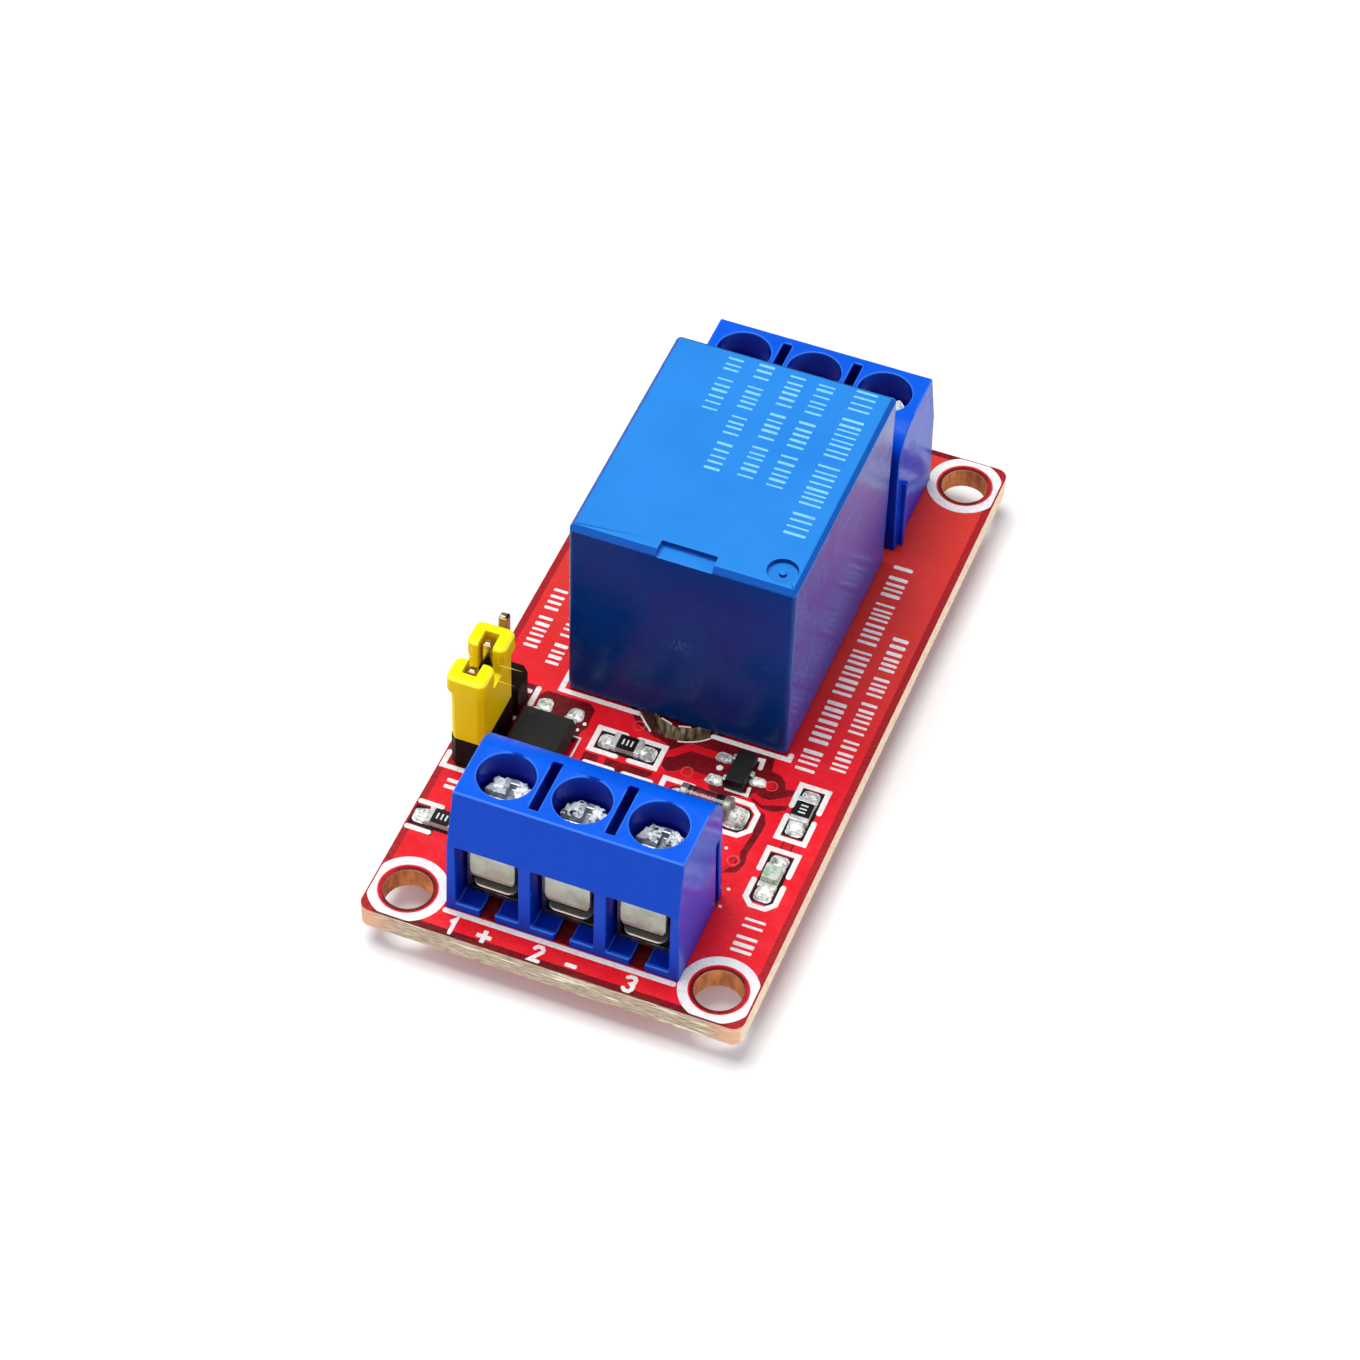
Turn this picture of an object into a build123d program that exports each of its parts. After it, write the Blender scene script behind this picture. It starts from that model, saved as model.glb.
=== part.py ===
from build123d import *
import os
from math import cos, radians, sin

# Single relay module board. Millimetres, +X right, +Y to the back, +Z up.
# X and Y are measured from the middle of the board. The module rests on the
# cut ends of its through-hole leads, at Z = 0.

# Terminal block, seen from its wire side: X along the row, Y inward
PITCH = 5.08
POLES = (-PITCH, 0.0, PITCH)
TERMINAL_H = 10.4
TERMINAL_D = 7.6
TERMINAL_END = 0.28
TERMINAL_BASE_W = 3 * PITCH + 2 * TERMINAL_END
TERMINAL_TOP_Y = 0.95
TERMINAL_BACK_R = 2.5
TERMINAL_DRAFT = 1.27
BAND_Z = 6.2
BAND_T = 0.65
DIVIDER_T = 0.83
MOUTH_W = PITCH - DIVIDER_T
FLOOR_Z = 0.45
LIP_Z = 0.72
LIP_T = 0.3
BACK_WALL = 0.9
POCKET_BACK = TERMINAL_D - BACK_WALL
POCKET_TOP = 7.35
FLOOR_GAP_W = 1.0
SCREW_Y = 3.4
DRIVER_HOLE_R = 1.87
KERF_W = 0.65
KERF_L = 4.15
KERF_Y = 3.62
KERF_DEPTH = 2.2
RIB_W = 0.45
RIB_FROM_BACK = 0.85
RIB_Y = TERMINAL_D - RIB_FROM_BACK
RIB_OUT = 0.35
RIB_LIFT = 0.1
RIB_H = 6.0
FIT = 0.05

# Relay case, whose length sets the length of the board
CASE_W = 15.45
CASE_L = 19.15
CASE_TOP = 15.7
CASE_LIFT = 0.25
CASE_WALL = 0.72
CASE_ROOF = 0.8
CASE_EDGE_R = 0.35
CASE_CHAMFER = 0.34
INNER_X = CASE_W / 2 - CASE_WALL
INNER_Y = CASE_L / 2 - CASE_WALL

# Board, laid out from front to rear
FRONT_MARGIN = 2.1
PARTS_ROOM = 12.355
RELAY_GAP = 0.995
REAR_MARGIN = 2.7
BOARD_W = 26.0
BOARD_L = FRONT_MARGIN + TERMINAL_D + PARTS_ROOM + CASE_L + RELAY_GAP + TERMINAL_D + REAR_MARGIN
BOARD_T = 1.6
BOARD_CORNER_R = 0.8
LEAD_DROP = 1.9
BOARD_BOTTOM = LEAD_DROP
BOARD_TOP = BOARD_BOTTOM + BOARD_T
MOUNT_INSET_X = 2.43
MOUNT_INSET_Y = 2.52
MOUNT_X = BOARD_W / 2 - MOUNT_INSET_X
MOUNT_Y = BOARD_L / 2 - MOUNT_INSET_Y
MOUNT_HOLE_R = 1.6
LEAD_HOLE_R = 0.65
LEAD_SIDES = 8
FRONT_TERMINAL = (0.12, -BOARD_L / 2 + FRONT_MARGIN)
REAR_TERMINAL = (0.22, BOARD_L / 2 - REAR_MARGIN)
RELAY_X = 0.02
RELAY_Y = REAR_TERMINAL[1] - TERMINAL_D - RELAY_GAP - CASE_L / 2
RELAY_FRONT = RELAY_Y - CASE_L / 2
VIA_R = 0.22
VIA_SIDES = 8
VIAS = ((7.77, -2.745), (2.25, -3.705), (7.68, -9.485), (-2.1, -1.205))

# Isolation slot, an open ring milled round the common lead
SLOT_X = 0.1
SLOT_FROM_FRONT = 1.865
SLOT_Y = RELAY_FRONT + SLOT_FROM_FRONT
SLOT_OUTER_R = 3.3
SLOT_W = 1.1
SLOT_HALF_ANGLE = 120.0

# Wire cage with its solder lead
CAGE_SIDE_FIT = 0.125
CAGE_W = MOUTH_W - 2 * CAGE_SIDE_FIT
CAGE_L = 3.6
CAGE_WALL = 0.33
CAGE_FLOOR_T = 0.4
CAGE_TOP_Z = 5.0
CAGE_TOP_T = 0.8
CAGE_LEAD_W = 0.9
CAGE_LEAD_T = 0.7

# Wire guard and clamping screw
GUARD_SIDE_FIT = 0.13
GUARD_W = CAGE_W - 2 * CAGE_WALL - 2 * GUARD_SIDE_FIT
GUARD_T = 0.35
GUARD_BEND_R = 1.15
GUARD_Z = 1.95
GUARD_TOP = 5.75
GUARD_BACK = 4.9
GUARD_CORNER_R = 0.6
GUARD_TAPER_W = 0.55
GUARD_TAPER_H = 1.4
HEM_T = 0.2
HEM_BACK = 0.1
HEM_SIDE = 0.08
HEM_CORNER_R = 0.6
SCREW_R = 1.25
SCREW_RUN = 0.07
SCREW_HEAD_R = 1.68
SCREW_HEAD_Z = 7.3
SCREW_HEAD_T = 0.9
SCREW_CROSS_W = 0.55
SCREW_CROSS_DEPTH = 0.55

# Three-way pin header and its shorting cap
HEADER_PITCH = 2.54
HEADER_INSET = 1.9
HEADER_X = -BOARD_W / 2 + HEADER_INSET
HEADER_FROM_RELAY = 5.045
HEADER_Y = RELAY_FRONT - HEADER_FROM_RELAY
HEADER_H = 2.54
HEADER_CHAMFER = 0.45
HEADER_PIN = 0.62
HEADER_PIN_TOP = 8.4
HEADER_PIN_DROP = 1.4
HEADER_PIN_CHAMFER = 0.14
CAP_W = 2.3
CAP_L = 5.05
CAP_SHOULDER_Z = 7.2
CAP_TOP_Z = 8.6
CAP_HEAD_OUT = 0.22
CAP_HEAD_R = 0.55
CAP_HEAD_CHAMFER = 0.22
CAP_EDGE_CHAMFER = 0.32
CAP_GAP_Y = 0.62
CAP_GAP_Z = 6.3
CAP_NOTCH_W = 1.0
CLIP_W = 1.4
CLIP_L = 3.9
CLIP_T = 0.2
CLIP_Z = (3.0, 6.2)
CLIP_GRIP = 0.02
CLIP_BUMP = 0.5
AIR = 0.05

# Optocoupler
OPTO_FROM_HEADER = 3.7
OPTO_FROM_RELAY = 5.775
OPTO_X = HEADER_X + OPTO_FROM_HEADER
OPTO_Y = RELAY_FRONT - OPTO_FROM_RELAY
OPTO_W = 3.8
OPTO_L = 4.3
OPTO_H = 1.9
OPTO_LIFT = 0.1
OPTO_DRAFT = 14.0
OPTO_DOT_R = 0.28
OPTO_DOT_INSET = 0.9
OPTO_LEAD_PITCH = 2.2
OPTO_LEAD_W = 0.6
OPTO_LEAD_T = 0.18
OPTO_LEAD_REACH = 1.35
OPTO_SOLDER_W = 1.0

# Small transistor
TRANSISTOR_X = 5.6
TRANSISTOR_FROM_RELAY = 2.655
TRANSISTOR_Y = RELAY_FRONT - TRANSISTOR_FROM_RELAY
TRANSISTOR_W = 1.35
TRANSISTOR_L = 2.9
TRANSISTOR_H = 1.0
TRANSISTOR_LIFT = 0.05
TRANSISTOR_DRAFT = 8.0
TRANSISTOR_LEAD_PITCH = 1.9
TRANSISTOR_LEAD_W = 0.42
TRANSISTOR_LEAD_T = 0.12
TRANSISTOR_LEAD_Z = 0.6
TRANSISTOR_LEAD_REACH = 0.55
TRANSISTOR_SOLDER_W = 0.7

# Chip parts: two ends soldered to the board
CHIP_L = 2.0
CHIP_W = 1.25
CHIP_H = 0.55
CHIP_END = 0.38
CHIP_PLATE = 0.04
CHIP_LIFT = 0.03
LED_BASE_H = 0.35
LED_LENS_L = 1.24
LED_LENS_H = 0.5
LED_LENS_DRAFT = 6.0
COUPLER_FROM_OPTO = 5.32
COUPLER_FROM_RELAY = 3.305
STATUS_FROM_OPTO = 5.45
STATUS_FROM_RELAY = 6.705
SIDE_INSET = 2.52
SIDE_FROM_RELAY = 4.205
POWER_FROM_RELAY = 10.005
INPUT_INSET = 2.25
INPUT_FROM_RELAY = 13.705
COUPLER_RESISTOR = (OPTO_X + COUPLER_FROM_OPTO, RELAY_FRONT - COUPLER_FROM_RELAY)
STATUS_LED = (OPTO_X + STATUS_FROM_OPTO, RELAY_FRONT - STATUS_FROM_RELAY)
SIDE_RESISTOR = (BOARD_W / 2 - SIDE_INSET, RELAY_FRONT - SIDE_FROM_RELAY)
POWER_LED = (BOARD_W / 2 - SIDE_INSET, RELAY_FRONT - POWER_FROM_RELAY)
INPUT_RESISTOR = (-BOARD_W / 2 + INPUT_INSET, RELAY_FRONT - INPUT_FROM_RELAY)

# Glass diode, lying along X
DIODE_X = 4.5
DIODE_FROM_RELAY = 6.155
DIODE_Y = RELAY_FRONT - DIODE_FROM_RELAY
DIODE_L = 3.5
DIODE_R = 0.74
DIODE_CAP_L = 0.5
DIODE_CAP_EXTRA_R = 0.03

# Details of the relay case, measured from its right and front walls
NOTCH_X = 0.17
NOTCH_W = 3.8
NOTCH_L = 1.08
NOTCH_DEPTH = 0.52
VENT_INSET_X = 1.475
VENT_INSET_Y = 1.545
VENT_X = CASE_W / 2 - VENT_INSET_X
VENT_Y = -CASE_L / 2 + VENT_INSET_Y
VENT_R = 1.02
VENT_DEPTH = 0.4
VENT_TIP_R = 0.25
VENT_TIP_DROP = 0.15

# Relay works, X and Y from the middle of the case
BASE_Z = 0.45
BASE_T = 1.2
BASE_FIT = 0.05
BLADE_T = 0.4
BLADE_W = 1.2
COIL_LEAD = 0.6
RELAY_LEAD_SHORT = 0.1
YOKE_T = 1.15
YOKE_TOP = 11.2
YOKE_BACK_ROOM = 1.555
YOKE_BACK = -INNER_Y + YOKE_BACK_ROOM
CONTACT_ROOM = 2.335
CONTACT_LEAD_Y = INNER_Y - CONTACT_ROOM
OUTER_LEAD_ROOM = 1.005
OUTER_LEAD_X = INNER_X - OUTER_LEAD_ROOM
COM_Y = YOKE_BACK - BLADE_T / 2
COM_LEAD_TOP = 4.2
BOBBIN_GAP = 0.45
BOBBIN_FRONT_GAP = 1.42
BOBBIN_BACK = YOKE_BACK + YOKE_T + BOBBIN_GAP
BOBBIN_FRONT = CONTACT_LEAD_Y - BLADE_W / 2 - BOBBIN_FRONT_GAP
CORE_Y = (BOBBIN_BACK + BOBBIN_FRONT) / 2
YOKE_SHORT = 1.3
YOKE_FRONT = BOBBIN_FRONT - YOKE_SHORT
CORE_R = 1.4
POLE_R = 2.6
POLE_T = 0.6
BOBBIN_WALL = 0.5
FLANGE_T = 0.7
EAR_RIM = 0.1
EAR_L = 0.35
COIL_LEAD_RISE = 0.9
COIL_LEAD_OUT = 0.28
COIL_LEAD_Y = BOBBIN_BACK + COIL_LEAD / 2 - COIL_LEAD_OUT
COIL_ROOM = 0.9
COIL_RIM = 0.2
COIL_R = (BOBBIN_FRONT - BOBBIN_BACK) / 2 - COIL_ROOM
BOBBIN_W = 2 * (COIL_R + COIL_RIM)
YOKE_SIDE = 0.2
YOKE_W = 2 * (COIL_R - YOKE_SIDE)
ARMATURE_SIDE = 0.1
ARMATURE_W = YOKE_W - 2 * ARMATURE_SIDE
HINGE_INSET = 0.1
ARMATURE_SHORT = 1.5
ARMATURE_BACK = YOKE_BACK + HINGE_INSET
ARMATURE_FRONT = BOBBIN_FRONT - ARMATURE_SHORT
ARMATURE_T = 0.9
ARMATURE_OPEN = 4.5
LEAF_W = 3.2
LEAF_T = 0.25
LEAF_TAIL = 2.5
LEAF_TAIL_GAP = 0.35
RIVET_R = 0.5
RIVET_H = 0.3
RIVET_SIDES = 12
TOUCH_OFFSET = 0.08
TOUCH_Y = CONTACT_LEAD_Y + TOUCH_OFFSET
TOUCH_R = 0.9
TOUCH_T = 1.05
LEAF_PAST = 0.8
LEAF_FRONT = TOUCH_Y + LEAF_PAST
BUTTON_R = 0.8
BUTTON_T = 0.35

# Solder
SOLDER_R = 0.95
SOLDER_TAPER = 26.5
SOLDER_H = 0.8
TOE_LIP = 0.05
CHIP_TOE = 0.6
CHIP_TOE_H = 0.4
LED_TOE_H = 0.3
DIODE_TOE = 0.7
DIODE_TOE_H = 0.8
TOE_HALF_W = 0.6
FOOT_TOE = 0.4
FOOT_TOE_H = 0.22


def block(x0, x1, y0, y1, z0, z1):
    """Box between two corners."""
    middle = Pos((x0 + x1) / 2, (y0 + y1) / 2, (z0 + z1) / 2)
    return middle * Box(x1 - x0, y1 - y0, z1 - z0)


def post(x, y, z0, z1, r):
    """Upright cylinder."""
    return Pos(x, y, (z0 + z1) / 2) * Cylinder(r, z1 - z0)


def side_profile(points, half_width):
    """Closed outline in Y and Z, drawn out to both sides along X."""
    outline = Polyline(*points, close=True)
    return extrude(Plane.YZ * make_face(outline), half_width, both=True)


def save(name, *solids):
    """Write one node, which may hold several separate solids."""
    shape = solids[0] if len(solids) == 1 else Compound(children=list(solids))
    export_step(shape, os.path.join("parts", name + ".step"))


def on_board(x, y):
    """Place on the board's upper face."""
    return Pos(x, y, BOARD_TOP)


def terminal_leads(place):
    """Where the three leads of one terminal block pass the board."""
    x, y, inward = place
    return [(x + pole, y + inward * SCREW_Y) for pole in POLES]


def relay_lead_places():
    """Where the five relay leads pass the board."""
    outer = [(side * OUTER_LEAD_X, y) for side in (-1, 1) for y in (COIL_LEAD_Y, CONTACT_LEAD_Y)]
    return [(RELAY_X + x, RELAY_Y + y) for x, y in [(0.0, COM_Y)] + outer]


def header_lead_places():
    """Where the three header pins pass the board."""
    return [(HEADER_X, HEADER_Y + step * HEADER_PITCH) for step in (-1, 0, 1)]


def isolation_slot():
    """Open ring with round ends, its gap towards the back."""
    mid_r = SLOT_OUTER_R - SLOT_W / 2
    ring = Circle(SLOT_OUTER_R) - Circle(SLOT_OUTER_R - SLOT_W)
    edge = 2 * SLOT_OUTER_R
    gap_angle = 180.0 - SLOT_HALF_ANGLE
    ends = [(side * mid_r * sin(radians(gap_angle)), mid_r * cos(radians(gap_angle))) for side in (-1, 1)]
    reach = edge / cos(radians(gap_angle))
    corner = (reach * sin(radians(gap_angle)), reach * cos(radians(gap_angle)))
    wedge = make_face(Polyline((0, 0), corner, (-corner[0], corner[1]), close=True))
    slot = ring - wedge
    for x, y in ends:
        slot += Pos(x, y) * Circle(SLOT_W / 2)
    return Pos(SLOT_X, SLOT_Y) * slot


def circuit_board():
    """Board with mounting holes, lead holes, vias and the isolation slot."""
    face = RectangleRounded(BOARD_W, BOARD_L, BOARD_CORNER_R)
    for x in (-MOUNT_X, MOUNT_X):
        for y in (-MOUNT_Y, MOUNT_Y):
            face -= Pos(x, y) * Circle(MOUNT_HOLE_R)
    for x, y in all_lead_places():
        face -= Pos(x, y) * RegularPolygon(LEAD_HOLE_R, LEAD_SIDES)
    for x, y in VIAS:
        face -= Pos(x, RELAY_FRONT + y) * RegularPolygon(VIA_R, VIA_SIDES)
    face -= isolation_slot()
    return Pos(0, 0, BOARD_BOTTOM) * extrude(face, BOARD_T)


def all_lead_places():
    """Every through-hole lead."""
    front = terminal_leads((*FRONT_TERMINAL, 1))
    rear = terminal_leads((*REAR_TERMINAL, -1))
    return front + rear + relay_lead_places() + header_lead_places()


def terminal_housing():
    """Moulded block: three wire mouths, three driver holes, kerfs, rib and groove."""
    half = TERMINAL_BASE_W / 2
    points = (
        (0, 0),
        (0, BAND_Z),
        (TERMINAL_TOP_Y, TERMINAL_H),
        (TERMINAL_D, TERMINAL_H),
        (TERMINAL_D, 0),
    )
    body = side_profile(points, half)
    back_edge = body.edges().filter_by(Axis.X).sort_by(Axis.Z)[-2:].sort_by(Axis.Y)[-1]
    body = fillet(back_edge, TERMINAL_BACK_R)
    drafted = extrude(Rectangle(TERMINAL_BASE_W, 4 * TERMINAL_D), TERMINAL_H, taper=TERMINAL_DRAFT)
    body = body & drafted
    for x in POLES:
        left = x - MOUTH_W / 2
        right = x + MOUTH_W / 2
        body -= block(left, right, -1, LIP_T, LIP_Z, BAND_Z)
        body -= block(left, right, LIP_T, BAND_T, FLOOR_Z, BAND_Z)
        body -= block(left, right, BAND_T, POCKET_BACK, FLOOR_Z, POCKET_TOP)
        gap = FLOOR_GAP_W / 2
        body -= block(x - gap, x + gap, -1, SCREW_Y + 1, -1, LIP_Z)
        body -= post(x, SCREW_Y, POCKET_TOP - 1, TERMINAL_H + 1, DRIVER_HOLE_R)
    for x in (-PITCH / 2, PITCH / 2):
        bottom = TERMINAL_H - KERF_DEPTH
        sides = (x - KERF_W / 2, x + KERF_W / 2)
        body -= block(*sides, KERF_Y - KERF_L / 2, KERF_Y + KERF_L / 2, bottom, TERMINAL_H + 1)
    near = RIB_Y - RIB_W / 2
    far = RIB_Y + RIB_W / 2
    inner = half - RIB_OUT - FIT
    body -= block(inner, half + 1, near - FIT, far + FIT, -1, RIB_H + FIT)
    body += block(-half - RIB_OUT, -half + RIB_OUT, near, far, RIB_LIFT, RIB_H)
    return body


def wire_cage(x):
    """Stamped frame that the screw is threaded in, with its solder lead."""
    half = CAGE_W / 2
    ends = (SCREW_Y - CAGE_L / 2, SCREW_Y + CAGE_L / 2)
    outer = block(x - half, x + half, *ends, FLOOR_Z, CAGE_TOP_Z)
    floor_top = FLOOR_Z + CAGE_FLOOR_T
    roof = CAGE_TOP_Z - CAGE_TOP_T
    inside = half - CAGE_WALL
    cage = outer - block(x - inside, x + inside, -1, TERMINAL_D + 1, floor_top, roof)
    cage -= post(x, SCREW_Y, roof - 1, CAGE_TOP_Z + 1, SCREW_R + SCREW_RUN)
    lead_x = CAGE_LEAD_W / 2
    lead_y = CAGE_LEAD_T / 2
    bottom = -BOARD_TOP
    cage += block(x - lead_x, x + lead_x, SCREW_Y - lead_y, SCREW_Y + lead_y, bottom, floor_top)
    return cage


def wire_guard(x):
    """Bent plate: upright leaf in the wire mouth, foot under the screw tip, folded hem below."""
    half = GUARD_W / 2
    leaf_y = TERMINAL_TOP_Y
    bend_z = GUARD_Z + GUARD_BEND_R
    bend_y = leaf_y + GUARD_BEND_R
    inner_r = GUARD_BEND_R - GUARD_T
    leaf = block(-half, half, leaf_y, leaf_y + GUARD_T, bend_z, GUARD_TOP)
    foot = block(-half, half, bend_y, GUARD_BACK, GUARD_Z, GUARD_Z + GUARD_T)
    along_x = Pos(0, bend_y, bend_z) * Rot(0, 90, 0)
    bend = along_x * Cylinder(GUARD_BEND_R, GUARD_W) - along_x * Cylinder(inner_r, 2 * GUARD_W)
    bend = bend & block(-half, half, leaf_y, bend_y, GUARD_Z, bend_z)
    low_half = half - GUARD_TAPER_W
    taper_z = GUARD_Z + GUARD_TAPER_H
    right = ((low_half, GUARD_Z), (half, taper_z), (half, GUARD_TOP))
    left = [(-across, z) for across, z in reversed(right)]
    front = make_face(Polyline(*right, *left, close=True))
    turns = front.vertices().filter_by(lambda corner: abs(corner.Y - taper_z) < FIT)
    silhouette = extrude(Plane.XZ * fillet(turns, GUARD_CORNER_R), 2 * TERMINAL_D, both=True)
    hem_half = half - HEM_SIDE
    hem = block(-hem_half, hem_half, leaf_y + HEM_BACK, GUARD_BACK, GUARD_Z - HEM_T, GUARD_Z)
    hem = fillet(hem.edges().filter_by(Axis.Z).sort_by(Axis.Y)[:2], HEM_CORNER_R)
    return Pos(x, 0, 0) * ((leaf + bend + foot) & silhouette) + Pos(x, 0, 0) * hem


def clamp_screw(x):
    """Screw with a crossed head, its tip on the guard's foot."""
    tip = GUARD_Z + GUARD_T + FIT
    head_top = SCREW_HEAD_Z + SCREW_HEAD_T
    screw = post(0, 0, tip, SCREW_HEAD_Z, SCREW_R)
    screw += post(0, 0, SCREW_HEAD_Z, head_top, SCREW_HEAD_R)
    half = SCREW_CROSS_W / 2
    low = head_top - SCREW_CROSS_DEPTH
    screw -= block(-2 * SCREW_HEAD_R, 2 * SCREW_HEAD_R, -half, half, low, head_top + 1)
    arm = 0.75 * SCREW_HEAD_R
    screw -= block(-half, half, -arm, arm, low, head_top + 1)
    return Pos(x, SCREW_Y, 0) * screw


def save_terminal(name, place, turn):
    """One complete three-way terminal block on the board."""
    put = on_board(*place) * Rot(0, 0, turn)
    save(name + "_terminal_housing", put * terminal_housing())
    for number, x in enumerate(POLES, 1):
        save(f"{name}_cage_{number}", put * wire_cage(x))
        save(f"{name}_guard_{number}", put * wire_guard(x))
        save(f"{name}_screw_{number}", put * clamp_screw(x))


def header_base():
    """Three chamfered cells in a row, each with a square pin hole."""
    body = None
    for x, y in header_lead_places():
        cell = Rectangle(HEADER_PITCH, HEADER_PITCH)
        cell = chamfer(cell.vertices(), HEADER_CHAMFER)
        cell = cell - Rectangle(HEADER_PIN, HEADER_PIN)
        solid = Pos(x, y, BOARD_TOP) * extrude(cell, HEADER_H)
        body = solid if body is None else body + solid
    return body


def header_pins():
    """Three square pins with chamfered tops."""
    pins = []
    half = HEADER_PIN / 2
    bottom = BOARD_BOTTOM - HEADER_PIN_DROP
    for x, y in header_lead_places():
        pin = block(x - half, x + half, y - half, y + half, bottom, BOARD_TOP + HEADER_PIN_TOP)
        pin = chamfer(pin.faces().sort_by(Axis.Z)[-1].edges(), HEADER_PIN_CHAMFER)
        pins.append(pin)
    return pins


def cap_place():
    """Shorting cap, over the two front pins."""
    return on_board(HEADER_X, HEADER_Y - HEADER_PITCH / 2)


def shorting_cap():
    """Cap with two rounded heads, open between them and round both pins."""
    half_w = CAP_W / 2
    half_l = CAP_L / 2
    bottom = HEADER_H + AIR
    body = block(-half_w, half_w, -half_l, half_l, bottom, CAP_SHOULDER_Z)
    body = chamfer(body.edges().filter_by(Axis.Z), CAP_EDGE_CHAMFER)
    out = CAP_HEAD_OUT
    for side in (-1, 1):
        near, far = sorted((side * CAP_GAP_Y, side * (half_l + out)))
        head = block(-half_w - out, half_w + out, near, far, CAP_SHOULDER_Z, CAP_TOP_Z)
        head = fillet(head.edges().filter_by(Axis.Z), CAP_HEAD_R)
        head = chamfer(head.faces().sort_by(Axis.Z)[-1].edges(), CAP_HEAD_CHAMFER)
        body += head
    clip_x = CLIP_W / 2
    clip_y = CLIP_L / 2
    body -= block(-clip_x, clip_x, -clip_y, clip_y, bottom - 1, CLIP_Z[1])
    notch = CAP_NOTCH_W / 2
    body -= block(-notch, notch, -clip_y, clip_y, CLIP_Z[1] - 1, CAP_TOP_Z + 1)
    body -= block(-half_w - 1, half_w + 1, -CAP_GAP_Y, CAP_GAP_Y, CAP_GAP_Z, CAP_TOP_Z + 1)
    return cap_place() * body


def shorting_clip():
    """Spring strip folded round both pins, with a grip bump on each side."""
    clip_x = CLIP_W / 2
    clip_y = CLIP_L / 2
    clip = block(-clip_x, clip_x, -clip_y, clip_y, *CLIP_Z)
    inner_x = clip_x - CLIP_T
    inner_y = clip_y - CLIP_T
    clip -= block(-inner_x, inner_x, -inner_y, inner_y, CLIP_Z[0] - 1, CLIP_Z[1] + 1)
    bump_x = HEADER_PIN / 2 + CLIP_GRIP
    middle = sum(CLIP_Z) / 2
    for side in (-1, 1):
        for step in (-1, 1):
            y = step * HEADER_PITCH / 2
            near, far = sorted((side * bump_x, side * inner_x))
            half = CLIP_BUMP / 2
            clip += block(near, far, y - half, y + half, middle - CLIP_BUMP, middle + CLIP_BUMP)
    return cap_place() * clip


def moulded_body(width, length, height, draft, lift):
    """Small moulded package, tapered up and down from its parting line."""
    middle = (height + lift) / 2
    upper = extrude(Rectangle(width, length), height - middle, taper=draft)
    lower = extrude(Rectangle(width, length), middle - lift, taper=draft)
    lower = Rot(180, 0, 0) * lower
    return Pos(0, 0, middle) * (upper + lower)


def gull_lead(body_edge, reach, width, top_z, thick):
    """Formed lead leaving a package towards +Y: shoulder, drop and foot."""
    bend_y = body_edge + 0.4 * reach
    end_y = body_edge + reach
    slope = 0.6 * thick
    points = (
        (body_edge - slope, top_z),
        (bend_y, top_z),
        (bend_y + slope, thick),
        (end_y, thick),
        (end_y, 0),
        (bend_y + slope - thick, 0),
        (bend_y - thick, top_z - thick),
        (body_edge - slope, top_z - thick),
    )
    return side_profile(points, width / 2)


def optocoupler():
    """Body and four leads, the leads on its front and back sides."""
    body = moulded_body(OPTO_W, OPTO_L, OPTO_H, OPTO_DRAFT, OPTO_LIFT)
    dot_place = Pos(-OPTO_W / 2 + OPTO_DOT_INSET, OPTO_L / 2 - OPTO_DOT_INSET, OPTO_H)
    dot = dot_place * Cylinder(OPTO_DOT_R, AIR)
    body -= dot
    leads = []
    for turn in (0, 180):
        for side in (-1, 1):
            shoulder = (OPTO_H + OPTO_LIFT + OPTO_LEAD_T) / 2
            lead = gull_lead(OPTO_L / 2, OPTO_LEAD_REACH, OPTO_LEAD_W, shoulder, OPTO_LEAD_T)
            lead = Rot(0, 0, turn) * Pos(side * OPTO_LEAD_PITCH / 2, 0, 0) * lead
            leads.append(lead - body)
    put = on_board(OPTO_X, OPTO_Y)
    return put * body, [put * lead for lead in leads]


def transistor():
    """Body and three leads: two towards -X, one towards +X."""
    size = (TRANSISTOR_W, TRANSISTOR_L, TRANSISTOR_H)
    body = moulded_body(*size, TRANSISTOR_DRAFT, TRANSISTOR_LIFT)
    leads = []
    offset = TRANSISTOR_LEAD_PITCH / 2
    for turn, y in ((90, -offset), (90, offset), (-90, 0)):
        form = (TRANSISTOR_LEAD_REACH, TRANSISTOR_LEAD_W, TRANSISTOR_LEAD_Z, TRANSISTOR_LEAD_T)
        lead = gull_lead(TRANSISTOR_W / 2, *form)
        leads.append(Pos(0, y, 0) * Rot(0, 0, turn) * lead - body)
    put = on_board(TRANSISTOR_X, TRANSISTOR_Y)
    return put * body, [put * lead for lead in leads]


def chip_ends(core, height):
    """Two plated end caps wrapped on a chip that lies along X."""
    half_l = CHIP_L / 2
    half_w = CHIP_W / 2
    ends = []
    for side in (-1, 1):
        near, far = sorted((side * half_l, side * (half_l - CHIP_END)))
        cap = block(near, far, -half_w, half_w, CHIP_LIFT, CHIP_LIFT + height)
        ends.append(cap - core)
    return ends


def toe(start, reach, height, half_width):
    """Solder wedge that falls away towards +Y from start."""
    end = start + reach
    points = ((start, 0), (end, 0), (end, TOE_LIP), (start, height))
    return side_profile(points, half_width)


def chip_fillets(height):
    """Solder wedges at both ends of a chip that lies along X."""
    wedge = toe(CHIP_L / 2, CHIP_TOE, height, TOE_HALF_W)
    return [Rot(0, 0, turn) * wedge for turn in (-90, 90)]


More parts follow.
